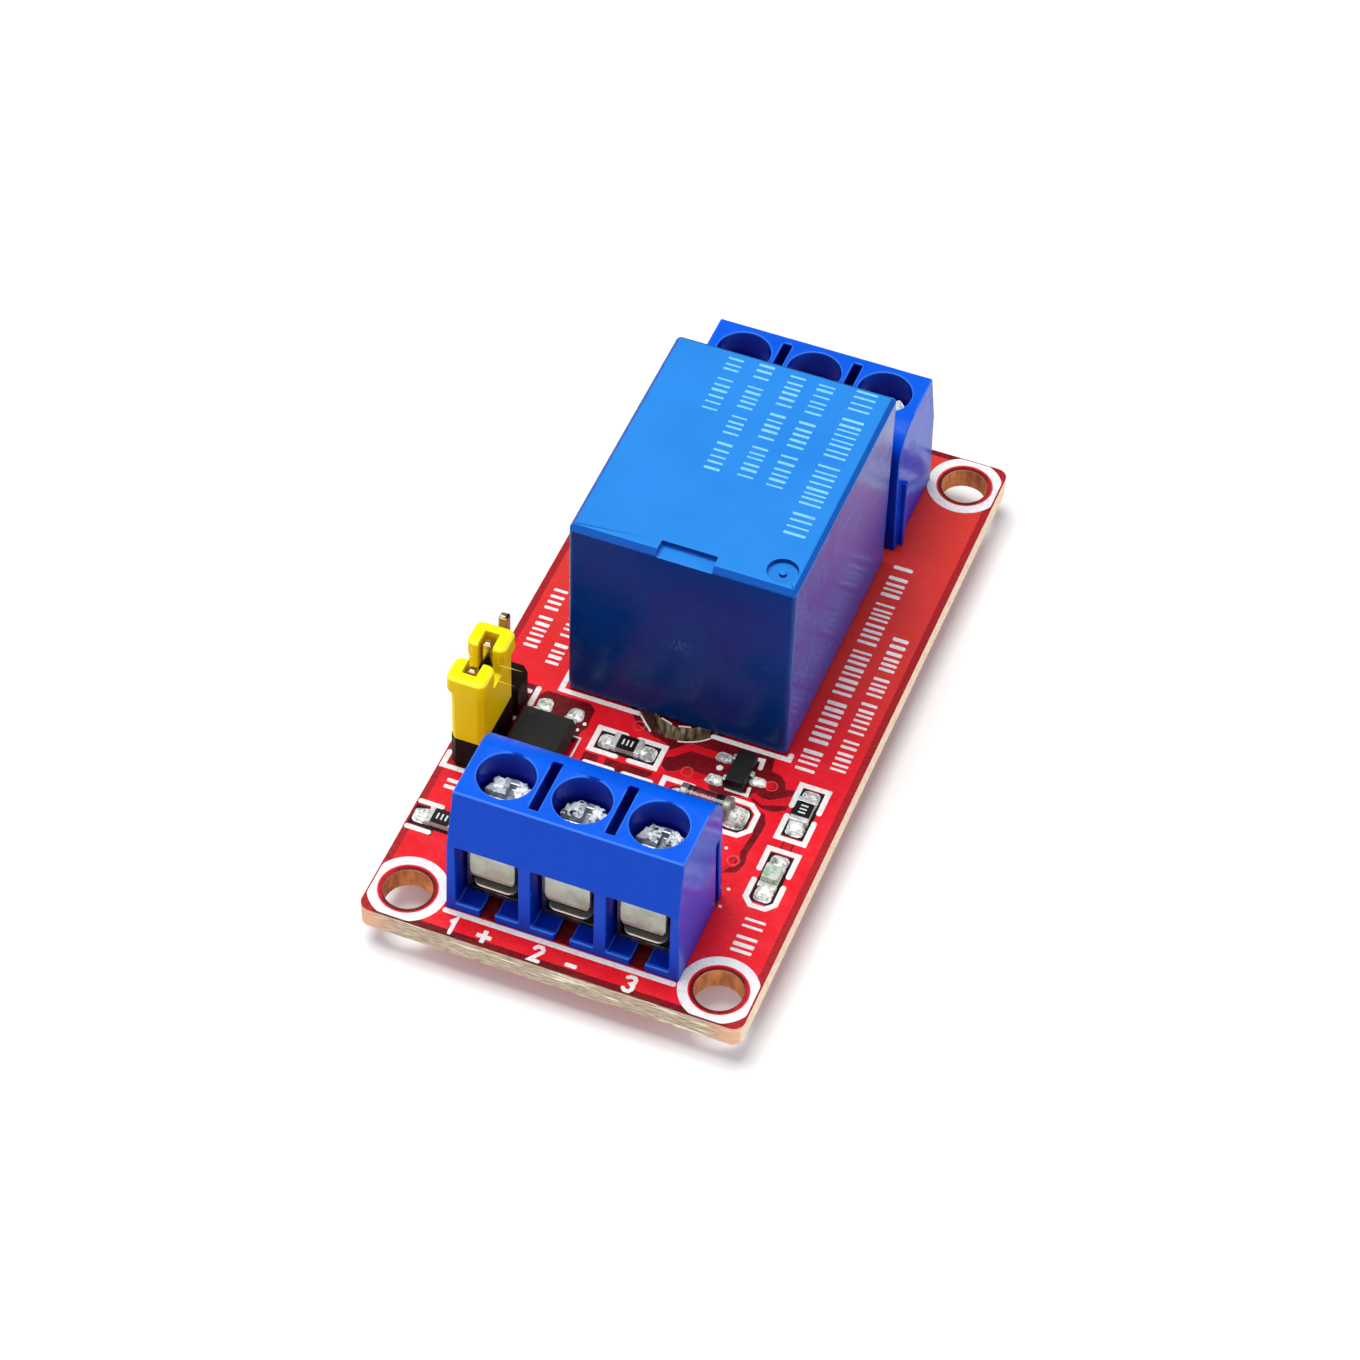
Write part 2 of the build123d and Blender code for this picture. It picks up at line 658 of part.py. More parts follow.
def chip_resistor():
    """Ceramic body, plated ends and solder of a chip resistor along X."""
    half_l = CHIP_L / 2 - CHIP_PLATE
    half_w = CHIP_W / 2 - CHIP_PLATE
    low = CHIP_LIFT + CHIP_PLATE
    core = block(-half_l, half_l, -half_w, half_w, low, CHIP_LIFT + CHIP_H - CHIP_PLATE)
    return core, chip_ends(core, CHIP_H), chip_fillets(CHIP_TOE_H)


def chip_led():
    """Carrier, lens, plated ends and solder of a chip LED along X."""
    half_l = CHIP_L / 2 - CHIP_PLATE
    half_w = CHIP_W / 2 - CHIP_PLATE
    top = CHIP_LIFT + LED_BASE_H
    core = block(-half_l, half_l, -half_w, half_w, CHIP_LIFT + CHIP_PLATE, top - CHIP_PLATE)
    ends = chip_ends(core, LED_BASE_H)
    foot = Rectangle(LED_LENS_L, 2 * half_w)
    lens = Pos(0, 0, top - CHIP_PLATE) * extrude(foot, LED_LENS_H, taper=LED_LENS_DRAFT)
    return core, lens, ends, chip_fillets(LED_TOE_H)


def glass_diode():
    """Glass tube, two metal end caps and their solder."""
    put = on_board(DIODE_X, DIODE_Y)
    cap_r = DIODE_R + DIODE_CAP_EXTRA_R
    along_x = Pos(0, 0, cap_r + CHIP_LIFT) * Rot(0, 90, 0)
    glass = along_x * Cylinder(DIODE_R, DIODE_L - 2 * DIODE_CAP_L)
    caps = []
    wedges = []
    half_l = DIODE_L / 2
    wedge = toe(half_l, DIODE_TOE, DIODE_TOE_H, TOE_HALF_W)
    for side in (-1, 1):
        x = side * (half_l - DIODE_CAP_L / 2)
        caps.append(put * Pos(x, 0, 0) * along_x * Cylinder(cap_r, DIODE_CAP_L))
        wedges.append(put * Rot(0, 0, -90 * side) * wedge)
    return put * glass, caps, wedges


def lead_solder():
    """Solder cones on the underside, one round each lead."""
    cones = []
    shapes = {}
    for x, y in terminal_leads((*FRONT_TERMINAL, 1)) + terminal_leads((*REAR_TERMINAL, -1)):
        shapes[(x, y)] = (CAGE_LEAD_W, CAGE_LEAD_T)
    com, *outer = relay_lead_places()
    shapes[com] = (BLADE_W, BLADE_T)
    for x, y in outer:
        coil = y < RELAY_Y
        shapes[(x, y)] = (COIL_LEAD, COIL_LEAD) if coil else (BLADE_T, BLADE_W)
    for x, y in header_lead_places():
        shapes[(x, y)] = (HEADER_PIN, HEADER_PIN)
    for (x, y), (wide, deep) in shapes.items():
        foot = RegularPolygon(SOLDER_R, LEAD_SIDES)
        cone = extrude(foot, SOLDER_H, taper=SOLDER_TAPER) - Box(wide, deep, 4 * SOLDER_H)
        cones.append(Pos(x, y, BOARD_BOTTOM) * Rot(180, 0, 0) * cone)
    return cones


def foot_solder(x, y, width, toward):
    """Solder wedge in front of one formed lead; toward is its heading in degrees."""
    return on_board(x, y) * Rot(0, 0, toward) * toe(0, FOOT_TOE, FOOT_TOE_H, width / 2)


def lead_foot_solder():
    """Solder at the feet of the optocoupler and the transistor."""
    wedges = []
    reach = OPTO_L / 2 + OPTO_LEAD_REACH
    for side in (-1, 1):
        x = OPTO_X + side * OPTO_LEAD_PITCH / 2
        wedges.append(foot_solder(x, OPTO_Y + reach, OPTO_SOLDER_W, 0))
        wedges.append(foot_solder(x, OPTO_Y - reach, OPTO_SOLDER_W, 180))
    reach = TRANSISTOR_W / 2 + TRANSISTOR_LEAD_REACH
    offset = TRANSISTOR_LEAD_PITCH / 2
    for step in (-1, 1):
        y = TRANSISTOR_Y + step * offset
        wedges.append(foot_solder(TRANSISTOR_X - reach, y, TRANSISTOR_SOLDER_W, 90))
    wedges.append(foot_solder(TRANSISTOR_X + reach, TRANSISTOR_Y, TRANSISTOR_SOLDER_W, -90))
    return wedges


def relay_case():
    """Hollow cover with the notch and the vent in its roof."""
    half_w = CASE_W / 2
    half_l = CASE_L / 2
    case = block(-half_w, half_w, -half_l, half_l, CASE_LIFT, CASE_TOP)
    case = fillet(case.edges().filter_by(Axis.Z), CASE_EDGE_R)
    case = chamfer(case.faces().sort_by(Axis.Z)[-1].edges(), CASE_CHAMFER)
    case -= block(-INNER_X, INNER_X, -INNER_Y, INNER_Y, -1, CASE_TOP - CASE_ROOF)
    left = NOTCH_X - NOTCH_W / 2
    right = NOTCH_X + NOTCH_W / 2
    case -= block(left, right, -half_l - 1, -half_l + NOTCH_L, CASE_TOP - NOTCH_DEPTH, CASE_TOP + 1)
    vent = post(VENT_X, VENT_Y, CASE_TOP - VENT_DEPTH, CASE_TOP + 1, VENT_R)
    vent -= post(VENT_X, VENT_Y, CASE_TOP - VENT_DEPTH, CASE_TOP - VENT_TIP_DROP, VENT_TIP_R)
    return case - vent


def relay_base():
    """Plate that closes the case, with a hole for each lead."""
    half_w = INNER_X - BASE_FIT
    half_l = INNER_Y - BASE_FIT
    base = block(-half_w, half_w, -half_l, half_l, BASE_Z, BASE_Z + BASE_T)
    for lead in (common_lead(), *coil_leads(), fixed_contact(-1), fixed_contact(1)):
        base -= lead
    return base


def common_lead():
    """Common lead, standing against the back of the yoke."""
    half = BLADE_W / 2
    bottom = -BOARD_TOP + RELAY_LEAD_SHORT
    return block(-half, half, YOKE_BACK - BLADE_T, YOKE_BACK, bottom, COM_LEAD_TOP)


def coil_leads():
    """Two coil leads, held in the ears of the bobbin."""
    half = COIL_LEAD / 2
    leads = []
    for side in (-1, 1):
        x = side * OUTER_LEAD_X
        y = COIL_LEAD_Y
        ends = (-BOARD_TOP + RELAY_LEAD_SHORT, coil_floor() + FLANGE_T + COIL_LEAD_RISE)
        leads.append(block(x - half, x + half, y - half, y + half, *ends))
    return leads


def open_point(reach, height):
    """Y and Z of an armature point once the armature has swung open."""
    turn = radians(ARMATURE_OPEN)
    y = ARMATURE_BACK + reach * cos(turn) - height * sin(turn)
    z = YOKE_TOP + AIR + reach * sin(turn) + height * cos(turn)
    return y, z


def fixed_contact(side):
    """Lead, arm and button: +X is the upper, closed one; -X the lower, open one."""
    leaf_bottom = ARMATURE_T
    leaf_mid = leaf_bottom + LEAF_T / 2
    if side > 0:
        reach = TOUCH_Y - ARMATURE_BACK + TOUCH_R
        level = open_point(reach, leaf_mid + TOUCH_T / 2)[1] + AIR
        button = (level, level + BUTTON_T)
        arm = (button[1], button[1] + LEAF_T)
    else:
        level = YOKE_TOP + AIR + leaf_mid - TOUCH_T / 2 - AIR
        button = (level - BUTTON_T, level)
        arm = (button[0] - LEAF_T, button[0])
    x = side * OUTER_LEAD_X
    half_t = BLADE_T / 2
    half_w = BLADE_W / 2
    y = CONTACT_LEAD_Y
    bottom = -BOARD_TOP + RELAY_LEAD_SHORT
    shape = block(x - half_t, x + half_t, y - half_w, y + half_w, bottom, arm[1])
    near, far = sorted((x, -side * BUTTON_R))
    shape += block(near, far, y - half_w, y + half_w, *arm)
    return shape + post(0, TOUCH_Y, *button, BUTTON_R)


def yoke():
    """Bent iron strip behind and below the coil."""
    half = YOKE_W / 2
    bottom = BASE_Z + BASE_T
    upright = block(-half, half, YOKE_BACK, YOKE_BACK + YOKE_T, bottom, YOKE_TOP)
    return upright + block(-half, half, YOKE_BACK, YOKE_FRONT, bottom, bottom + YOKE_T)


def coil_floor():
    """Top face of the yoke's lower leg."""
    return BASE_Z + BASE_T + YOKE_T


def iron_core():
    """Core pin with its wider pole face."""
    pole_z = YOKE_TOP - POLE_T
    return post(0, CORE_Y, coil_floor(), pole_z, CORE_R) + post(0, CORE_Y, pole_z, YOKE_TOP, POLE_R)


def bobbin_flange(z):
    """Square flange of the bobbin."""
    half_w = BOBBIN_W / 2
    return block(-half_w, half_w, BOBBIN_BACK, BOBBIN_FRONT, z, z + FLANGE_T)


def bobbin():
    """Moulded spool with the ears that hold the coil leads."""
    low = coil_floor()
    high = YOKE_TOP - POLE_T - FLANGE_T
    spool = bobbin_flange(low) + bobbin_flange(high)
    spool += post(0, CORE_Y, low, high, CORE_R + BOBBIN_WALL)
    half_w = OUTER_LEAD_X + COIL_LEAD / 2 + EAR_RIM
    near = COIL_LEAD_Y - COIL_LEAD / 2 - EAR_RIM
    far = COIL_LEAD_Y + COIL_LEAD / 2 + EAR_L
    spool += block(-half_w, half_w, near, far, low, low + FLANGE_T)
    spool -= post(0, CORE_Y, low - 1, YOKE_TOP, CORE_R)
    for lead in coil_leads():
        spool -= lead
    return spool


def coil():
    """Winding."""
    low = coil_floor() + FLANGE_T
    high = YOKE_TOP - POLE_T - FLANGE_T
    return post(0, CORE_Y, low, high, COIL_R) - post(0, CORE_Y, low - 1, high + 1, CORE_R + BOBBIN_WALL)


def rivet(y, z0, z1, r):
    """Upright riveted part on the leaf's middle line, its rim in small flats."""
    return Pos(0, y, z0) * extrude(RegularPolygon(r, RIVET_SIDES), z1 - z0)


def swung_open(shape):
    """Turn an armature part from its closed place to its open one."""
    axis = Pos(0, ARMATURE_BACK, YOKE_TOP + AIR)
    return axis * Rot(ARMATURE_OPEN, 0, 0) * axis.inverse() * shape


def armature():
    """Iron plate that hinges on the yoke's upper edge."""
    half = ARMATURE_W / 2
    low = YOKE_TOP + AIR
    return swung_open(block(-half, half, ARMATURE_BACK, ARMATURE_FRONT, low, low + ARMATURE_T))


def contact_leaf():
    """Spring leaf riveted on the armature, its tail bent down behind the yoke."""
    half = LEAF_W / 2
    low = YOKE_TOP + AIR + ARMATURE_T
    back = YOKE_BACK - LEAF_TAIL_GAP - LEAF_T
    leaf = block(-half, half, back, LEAF_FRONT, low, low + LEAF_T)
    leaf += block(-half, half, back, back + LEAF_T, low - LEAF_TAIL, low)
    leaf -= rivet(TOUCH_Y, low - 1, low + 1, TOUCH_R / 2)
    leaf += rivet(CORE_Y, low + LEAF_T, low + LEAF_T + RIVET_H, RIVET_R)
    return swung_open(leaf)


def moving_contact():
    """Double-faced contact rivet at the end of the leaf."""
    low = YOKE_TOP + AIR + ARMATURE_T
    mid = low + LEAF_T / 2
    contact = rivet(TOUCH_Y, mid - TOUCH_T / 2, low, TOUCH_R)
    contact += rivet(TOUCH_Y, low + LEAF_T, mid + TOUCH_T / 2, TOUCH_R)
    contact += rivet(TOUCH_Y, low, low + LEAF_T, TOUCH_R / 2)
    return swung_open(contact)


def save_relay():
    """Every piece of the relay."""
    put = on_board(RELAY_X, RELAY_Y)
    save("relay_case", put * relay_case())
    save("relay_base", put * relay_base())
    save("relay_bobbin", put * bobbin())
    save("relay_coil", put * coil())
    save("relay_core", put * iron_core())
    save("relay_yoke", put * yoke())
    save("relay_armature", put * armature())
    save("relay_leaf", put * contact_leaf())
    save("relay_moving_contact", put * moving_contact())
    save("relay_upper_contact", put * fixed_contact(1))
    save("relay_lower_contact", put * fixed_contact(-1))
    save("relay_common_lead", put * common_lead())
    save("relay_coil_leads", *[put * lead for lead in coil_leads()])


def save_chip(name, shapes, place, turn, solder):
    """Place one chip part and write its nodes; its solder joins the shared list."""
    put = on_board(*place) * Rot(0, 0, turn)
    *named, ends, wedges = shapes
    for suffix, shape in named:
        save(f"{name}_{suffix}", put * shape)
    save(f"{name}_ends", *[put * end for end in ends])
    solder.extend(put * wedge for wedge in wedges)


def save_chips(solder):
    """Three resistors and two LEDs."""
    core, ends, wedges = chip_resistor()
    resistor = (("body", core), ends, wedges)
    save_chip("coupler_resistor", resistor, COUPLER_RESISTOR, 0, solder)
    save_chip("side_resistor", resistor, SIDE_RESISTOR, 90, solder)
    save_chip("input_resistor", resistor, INPUT_RESISTOR, 0, solder)
    base, lens, ends, wedges = chip_led()
    led = (("base", base), ("lens", lens), ends, wedges)
    save_chip("power_led", led, POWER_LED, 90, solder)
    save_chip("status_led", led, STATUS_LED, 0, solder)


os.makedirs("parts", exist_ok=True)
save("circuit_board", circuit_board())
save("lead_solder", *lead_solder())
save_terminal("front", FRONT_TERMINAL, 0)
save_terminal("rear", REAR_TERMINAL, 180)
save("header_base", header_base())
save("header_pins", *header_pins())
save("jumper_cap", shorting_cap())
save("jumper_clip", shorting_clip())
opto_body, opto_leads = optocoupler()
save("optocoupler_body", opto_body)
save("optocoupler_leads", *opto_leads)
transistor_body, transistor_leads = transistor()
save("transistor_body", transistor_body)
save("transistor_leads", *transistor_leads)
diode_body, diode_caps, pad_solder = glass_diode()
save("diode_glass", diode_body)
save("diode_caps", *diode_caps)
save_chips(pad_solder)
pad_solder.extend(lead_foot_solder())
save("pad_solder", *pad_solder)
save_relay()
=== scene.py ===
"""Looks of a single relay module board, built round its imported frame.

The frame holds every solid piece. This script gives each of them its finish, and adds what is
too thin or too fine for a solid: the copper fields under the solder mask, the white print, the
skins of the solder joints and the chipped plating on the screw heads. Sizes are in millimetres
in the classes' fields and become metres when a mesh is made.
"""

import logging
import math
import random
from dataclasses import dataclass, field
from enum import Enum
from typing import Iterable, Sequence

import bmesh
import bpy
from mathutils import Matrix, Vector


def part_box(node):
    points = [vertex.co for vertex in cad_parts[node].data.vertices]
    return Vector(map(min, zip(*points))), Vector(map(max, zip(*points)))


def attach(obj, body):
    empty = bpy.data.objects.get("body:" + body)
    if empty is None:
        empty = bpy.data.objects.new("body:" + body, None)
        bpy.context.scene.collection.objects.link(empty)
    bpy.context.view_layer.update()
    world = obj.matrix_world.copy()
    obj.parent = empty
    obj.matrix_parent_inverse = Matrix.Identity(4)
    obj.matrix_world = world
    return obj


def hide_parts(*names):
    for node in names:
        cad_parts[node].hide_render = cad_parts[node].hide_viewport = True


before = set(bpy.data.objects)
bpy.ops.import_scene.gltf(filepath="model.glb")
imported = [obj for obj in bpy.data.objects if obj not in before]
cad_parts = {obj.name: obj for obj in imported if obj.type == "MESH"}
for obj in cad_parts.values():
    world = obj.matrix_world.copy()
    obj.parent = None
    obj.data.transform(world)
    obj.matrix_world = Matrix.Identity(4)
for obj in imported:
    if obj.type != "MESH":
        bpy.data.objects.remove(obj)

LOG = logging.getLogger("relay_module")
MM = 0.001
PHOTO_SIDE = 1360
FINE_SHARE = 0.55
ROUNDED_FROM = 32.0

Point = tuple[float, float]
Place = tuple[float, float, float]
Colour = tuple[float, float, float]
Socket = bpy.types.NodeSocket

BOARD_HALF_X = 13.0
BOARD_HALF_Y = 26.25
HOLE_X = 10.57
HOLE_Y = 23.73
HOLE_PLACES = ((-HOLE_X, -HOLE_Y), (HOLE_X, -HOLE_Y), (-HOLE_X, HOLE_Y), (HOLE_X, HOLE_Y))
SLOT_PLACE = (0.1, -2.33)
POLE_PITCH = 5.08
PIN_PITCH = 2.54
RESISTOR_PLACES = (((-2.08, -7.5), 0), ((10.48, -8.4), 90), ((-10.75, -17.9), 0))
LED_PLACES = (((10.48, -14.2), 90), ((-1.95, -10.9), 0))


class Body(Enum):
    """Bodies of the frame that pieces made here ride on."""

    BOARD = "board"
    FRONT_SCREW_1 = "front_clamp_screw_1"
    FRONT_SCREW_2 = "front_clamp_screw_2"
    FRONT_SCREW_3 = "front_clamp_screw_3"
    REAR_SCREW_1 = "rear_clamp_screw_1"
    REAR_SCREW_2 = "rear_clamp_screw_2"
    REAR_SCREW_3 = "rear_clamp_screw_3"


class Slot(Enum):
    """Names of material slots of the record, carried by the pieces made here but not read."""

    BOARD = "board_red"
    SOLDER = "solder"
    SCREW = "screw_zinc"
    RELAY = "relay_blue"
    CERAMIC = "chip_ceramic"


def srgb(red: int, green: int, blue: int) -> Colour:
    """Turn an 8-bit screen colour into linear light.

    Args:
        red: Red channel, 0 to 255.
        green: Green channel, 0 to 255.
        blue: Blue channel, 0 to 255.

    Returns:
        The three linear channels.
    """
    def channel(value: int) -> float:
        """Linear light of one channel."""
        share = value / 255
        return share / 12.92 if share <= 0.04045 else ((share + 0.055) / 1.055) ** 2.4

    return channel(red), channel(green), channel(blue)


def rgba(colour: Colour) -> tuple[float, float, float, float]:
    """Give a colour its opaque fourth channel."""
    return (*colour, 1.0)


class NodeSketch:
    """Adds and joins the shader nodes of one material, with lengths in millimetres."""

    def __init__(self, name: str) -> None:
        """Start a material that holds one shader.

        Args:
            name: Name of the material.
        """
        self.material = bpy.data.materials.new(name)
        self.material.use_nodes = True
        self.tree = self.material.node_tree
        self.shader = self.tree.nodes["Principled BSDF"]
        self.output = self.tree.nodes["Material Output"]
        self.object_point = self.add("ShaderNodeTexCoord").outputs["Object"]

    def add(self, kind: str, **settings: object) -> bpy.types.Node:
        """Add a node and set its properties.

        Args:
            kind: Node type.
            **settings: Properties to set on it.

        Returns:
            The new node.
        """
        node = self.tree.nodes.new(kind)
        for key, value in settings.items():
            setattr(node, key, value)
        return node

    def join(self, source: Socket, target: Socket) -> None:
        """Link two sockets."""
        self.tree.links.new(source, target)

    def millimetres(self, stretch: Sequence[float] = (1, 1, 1)) -> Socket:
        """Object coordinates in millimetres, each axis multiplied by its stretch.

        Args:
            stretch: Factor on each axis.

        Returns:
            The position.
        """
        mapping = self.add("ShaderNodeMapping")
        mapping.inputs["Scale"].default_value = [s / MM for s in stretch]
        self.join(self.object_point, mapping.inputs["Vector"])
        return mapping.outputs["Vector"]

    def noise(self, size: float, detail: float = 3,
              stretch: Sequence[float] = (1, 1, 1)) -> Socket:
        """Noise whose lumps are about size millimetres across.

        Args:
            size: Width of a lump.
            detail: Octaves.
            stretch: Factor on each axis.

        Returns:
            The noise factor.
        """
        node = self.add("ShaderNodeTexNoise")
        node.inputs["Scale"].default_value = 1 / size
        node.inputs["Detail"].default_value = detail
        node.inputs["Roughness"].default_value = FINE_SHARE
        self.join(self.millimetres(stretch), node.inputs["Vector"])
        return node.outputs["Fac"]

    def spread(self, value: Socket, low: float, high: float,
               out_low: float = 0.0, out_high: float = 1.0) -> Socket:
        """Map low..high of a value to out_low..out_high, clamped and smooth.

        Args:
            value: Value to map.
            low: Lower end.
            high: Upper end.
            out_low: Result at the lower end.
            out_high: Result at the upper end.

        Returns:
            The mapped value.
        """
        node = self.add("ShaderNodeMapRange", interpolation_type="SMOOTHSTEP")
        for socket, number in zip(node.inputs[1:5], (low, high, out_low, out_high)):
            socket.default_value = number
        self.join(value, node.inputs[0])
        return node.outputs[0]

    def mottle(self, size: float, detail: float, low: float, high: float, out_low: float = 0.0,
               out_high: float = 1.0, stretch: Sequence[float] = (1, 1, 1)) -> Socket:
        """Noise mapped to a range."""
        return self.spread(self.noise(size, detail, stretch), low, high, out_low, out_high)

    def math(self, operation: str, first: Socket,
             second: Socket | float = 0.0) -> Socket:
        """One arithmetic step on a value.

        Args:
            operation: Name of the step.
            first: First value.
            second: Second value.

        Returns:
            The result.
        """
        node = self.add("ShaderNodeMath", operation=operation)
        self.join(first, node.inputs[0])
        if isinstance(second, (int, float)):
            node.inputs[1].default_value = second
        else:
            self.join(second, node.inputs[1])
        return node.outputs[0]

    def blend(self, share: Socket, first: Socket | Colour, second: Socket | Colour) -> Socket:
        """Blend two colours, each a socket or linear channels, by a share.

        Args:
            share: Share of the second.
            first: First colour.
            second: Second colour.

        Returns:
            The blended colour.
        """
        node = self.add("ShaderNodeMix", data_type="RGBA")
        self.join(share, node.inputs[0])
        for socket, colour in ((node.inputs[6], first), (node.inputs[7], second)):
            if isinstance(colour, tuple):
                socket.default_value = rgba(colour)
            else:
                self.join(colour, socket)
        return node.outputs[2]

    def bump(self, height: Socket, depth: float, strength: float = 1.0,
             under: Socket | None = None) -> Socket:
        """Bump of some depth in millimetres, on top of another bump if one is given.

        Args:
            height: Height pattern.
            depth: Depth in millimetres.
            strength: Share of the full effect.
            under: Normal that it lies on.

        Returns:
            The bumped normal.
        """
        node = self.add("ShaderNodeBump")
        node.inputs["Strength"].default_value = strength
        node.inputs["Distance"].default_value = depth * MM
        self.join(height, node.inputs["Height"])
        if under is not None:
            self.join(under, node.inputs["Normal"])
        return node.outputs["Normal"]

    def axis(self, source: Socket, index: int) -> Socket:
        """One coordinate of a vector.

        Args:
            source: The vector.
            index: 0 for X, 1 for Y, 2 for Z.

        Returns:
            The coordinate.
        """
        node = self.add("ShaderNodeSeparateXYZ")
        self.join(source, node.inputs[0])
        return node.outputs[index]

    def own_normal(self) -> Socket:
        """Normal of the face itself, whatever its shading."""
        return self.add("ShaderNodeNewGeometry").outputs["True Normal"]

    def reach(self, source: Socket, index: int) -> Socket:
        """Size of one coordinate of a vector, without its sign."""
        return self.math("ABSOLUTE", self.axis(source, index))

    def times(self, first: Socket, second: Socket | float) -> Socket:
        """Product of two values."""
        return self.math("MULTIPLY", first, second)

    def facing_up(self, low: float = 0.3, high: float = 0.7) -> Socket:
        """1 where the surface faces up, 0 on its walls."""
        return self.spread(self.axis(self.own_normal(), 2), low, high)

    def facing_flat(self) -> Socket:
        """1 where the surface faces up or down, 0 on its walls."""
        return self.spread(self.reach(self.own_normal(), 2), 0.5, 0.8)

    def facing_side(self) -> Socket:
        """1 where the surface faces along X, 0 elsewhere."""
        return self.spread(self.reach(self.own_normal(), 0), 0.75, 0.9)

    def steady(self) -> Socket:
        """Shading normal, held to the face's own one on faces square to an axis.

        Returns:
            The normal.
        """
        geometry = self.add("ShaderNodeNewGeometry")
        own = geometry.outputs["True Normal"]
        square = self.reach(own, 2)
        for index in (0, 1):
            square = self.math("MAXIMUM", square, self.reach(own, index))
        node = self.add("ShaderNodeMix", data_type="VECTOR")
        self.join(self.math("GREATER_THAN", square, 0.9995), node.inputs[0])
        self.join(geometry.outputs["Normal"], node.inputs[4])
        self.join(own, node.inputs[5])
        return node.outputs[1]

    def slanting(self, low: float, high: float) -> Socket:
        """1 where the surface leans back between two shares of level, 0 elsewhere."""
        return self.between(self.axis(self.own_normal(), 2), low, high)

    def recess(self, reach: float, low: float, high: float) -> Socket:
        """1 deep in a hole or slot, 0 where the surface lies open.

        Args:
            reach: How far the walls round a spot count, in millimetres.
            low: Openness at which a spot counts as deep.
            high: Openness at which it counts as free.

        Returns:
            The share of shade.
        """
        node = self.add("ShaderNodeAmbientOcclusion", samples=6)
        node.inputs["Distance"].default_value = reach * MM
        return self.spread(node.outputs["AO"], low, high, 1.0, 0.0)

    def between(self, value: Socket, low: float, high: float) -> Socket:
        """1 where a value lies between two limits, 0 elsewhere."""
        return self.times(self.math("GREATER_THAN", value, low),
                          self.math("LESS_THAN", value, high))

    def mixed(self, share: Socket, first: Socket | float,
              second: Socket | float) -> Socket:
        """Blend two values by a share.

        Args:
            share: Share of the second.
            first: First value.
            second: Second value.

        Returns:
            The blended value.
        """
        node = self.add("ShaderNodeMix", data_type="FLOAT")
        self.join(share, node.inputs[0])
        for socket, value in ((node.inputs[2], first), (node.inputs[3], second)):
            if isinstance(value, (int, float)):
                socket.default_value = value
            else:
                self.join(value, socket)
        return node.outputs[0]

    def edges(self) -> Socket:
        """1 on outer edges of the mesh, 0 elsewhere."""
        return self.spread(self.add("ShaderNodeNewGeometry").outputs["Pointiness"], 0.52, 0.62)

    def set(self, name: str, value: object) -> None:
        """Set or link one socket of the shader.

        Args:
            name: Name of the socket.
            value: Value or socket.
        """
        socket = self.shader.inputs[name]
        if isinstance(value, Socket):
            self.join(value, socket)
        elif isinstance(value, tuple) and socket.type == "RGBA":
            socket.default_value = rgba(value)
        else:
            socket.default_value = value


@dataclass(frozen=True)
class Plastic:
    """Moulded plastic with a fine grain and soft mottling, and where given a painted highlight on
    slanting faces, painted shade on walls and painted shade in recesses.
    """

    name: str
    colour: Colour
    deep: Colour
    roughness: float = 0.4
    rough_spread: float = 0.08
    grain: float = 0.12
    grain_depth: float = 0.004
    # Edge colour with its share and start: a painted highlight on faces that lean back, only beyond
    # the start along Y.
    edge: Colour | None = None
    slope_highlight_share: float = 0.35
    slope_highlight_from: float = 0.0
    scatter: float = 0.0
    # Wall colour: painted shade on faces that do not face up.
    walls: Colour | None = None
    # Recess colours: painted shade deep in holes and slots, the second one lighter for floors that
    # face up.
    hollow: Colour | None = None
    hollow_floor: Colour | None = None
    side_rough: float | None = None
    side_spread: float = 0.12
    gloss: float = 0.5

    def make(self) -> bpy.types.Material:
        """Build the material.

        Returns:
            The material.
        """
        sketch = NodeSketch(self.name)
        sketch.set("Specular IOR Level", self.gloss)
        cloud = sketch.mottle(3.5, 4, 0.35, 0.7)
        colour = sketch.blend(cloud, self.colour, self.deep)
        # Painted shade: faces that do not face up take the wall colour.
        if self.walls is not None:
            colour = sketch.blend(sketch.facing_up(), self.walls, colour)
        # Painted shade in recesses, found by ambient occlusion, lighter on floors that face up.
        if self.hollow is not None:
            sunk = self.hollow
            if self.hollow_floor is not None:
                sunk = sketch.blend(sketch.facing_up(), self.hollow, self.hollow_floor)
            colour = sketch.blend(sketch.recess(3.2, 0.4, 0.96), colour, sunk)
        # Painted highlight: faces that lean back take the edge colour.
        if self.edge is not None:
            reach = sketch.reach(sketch.millimetres(), 1)
            slope_highlight = sketch.times(sketch.slanting(0.3, 0.97),
                                  sketch.math("GREATER_THAN", reach, self.slope_highlight_from))
            slope_highlight = sketch.times(slope_highlight, self.slope_highlight_share)
            colour = sketch.blend(slope_highlight, colour, self.edge)
        sketch.set("Base Color", colour)
        low = self.roughness - self.rough_spread
        high = self.roughness + self.rough_spread
        rough = sketch.mottle(0.9, 5, 0.3, 0.7, low, high)
        if self.side_rough is not None:
            glossy = sketch.mottle(1.7, 5, 0.35, 0.7, self.side_rough,
                                   self.side_rough + self.side_spread)
            rough = sketch.mixed(sketch.facing_side(), rough, glossy)
        sketch.set("Roughness", rough)
        flow = sketch.bump(sketch.noise(2.2, 2), 0.02, 0.35, sketch.steady())
        sketch.set("Normal", sketch.bump(sketch.noise(self.grain, 2), self.grain_depth, 0.6, flow))
        if self.scatter:
            sketch.set("Subsurface Weight", self.scatter)
            sketch.set("Subsurface Radius", (0.3, 0.4, 1.0))
            sketch.set("Subsurface Scale", 0.6 * MM)
        return sketch.material


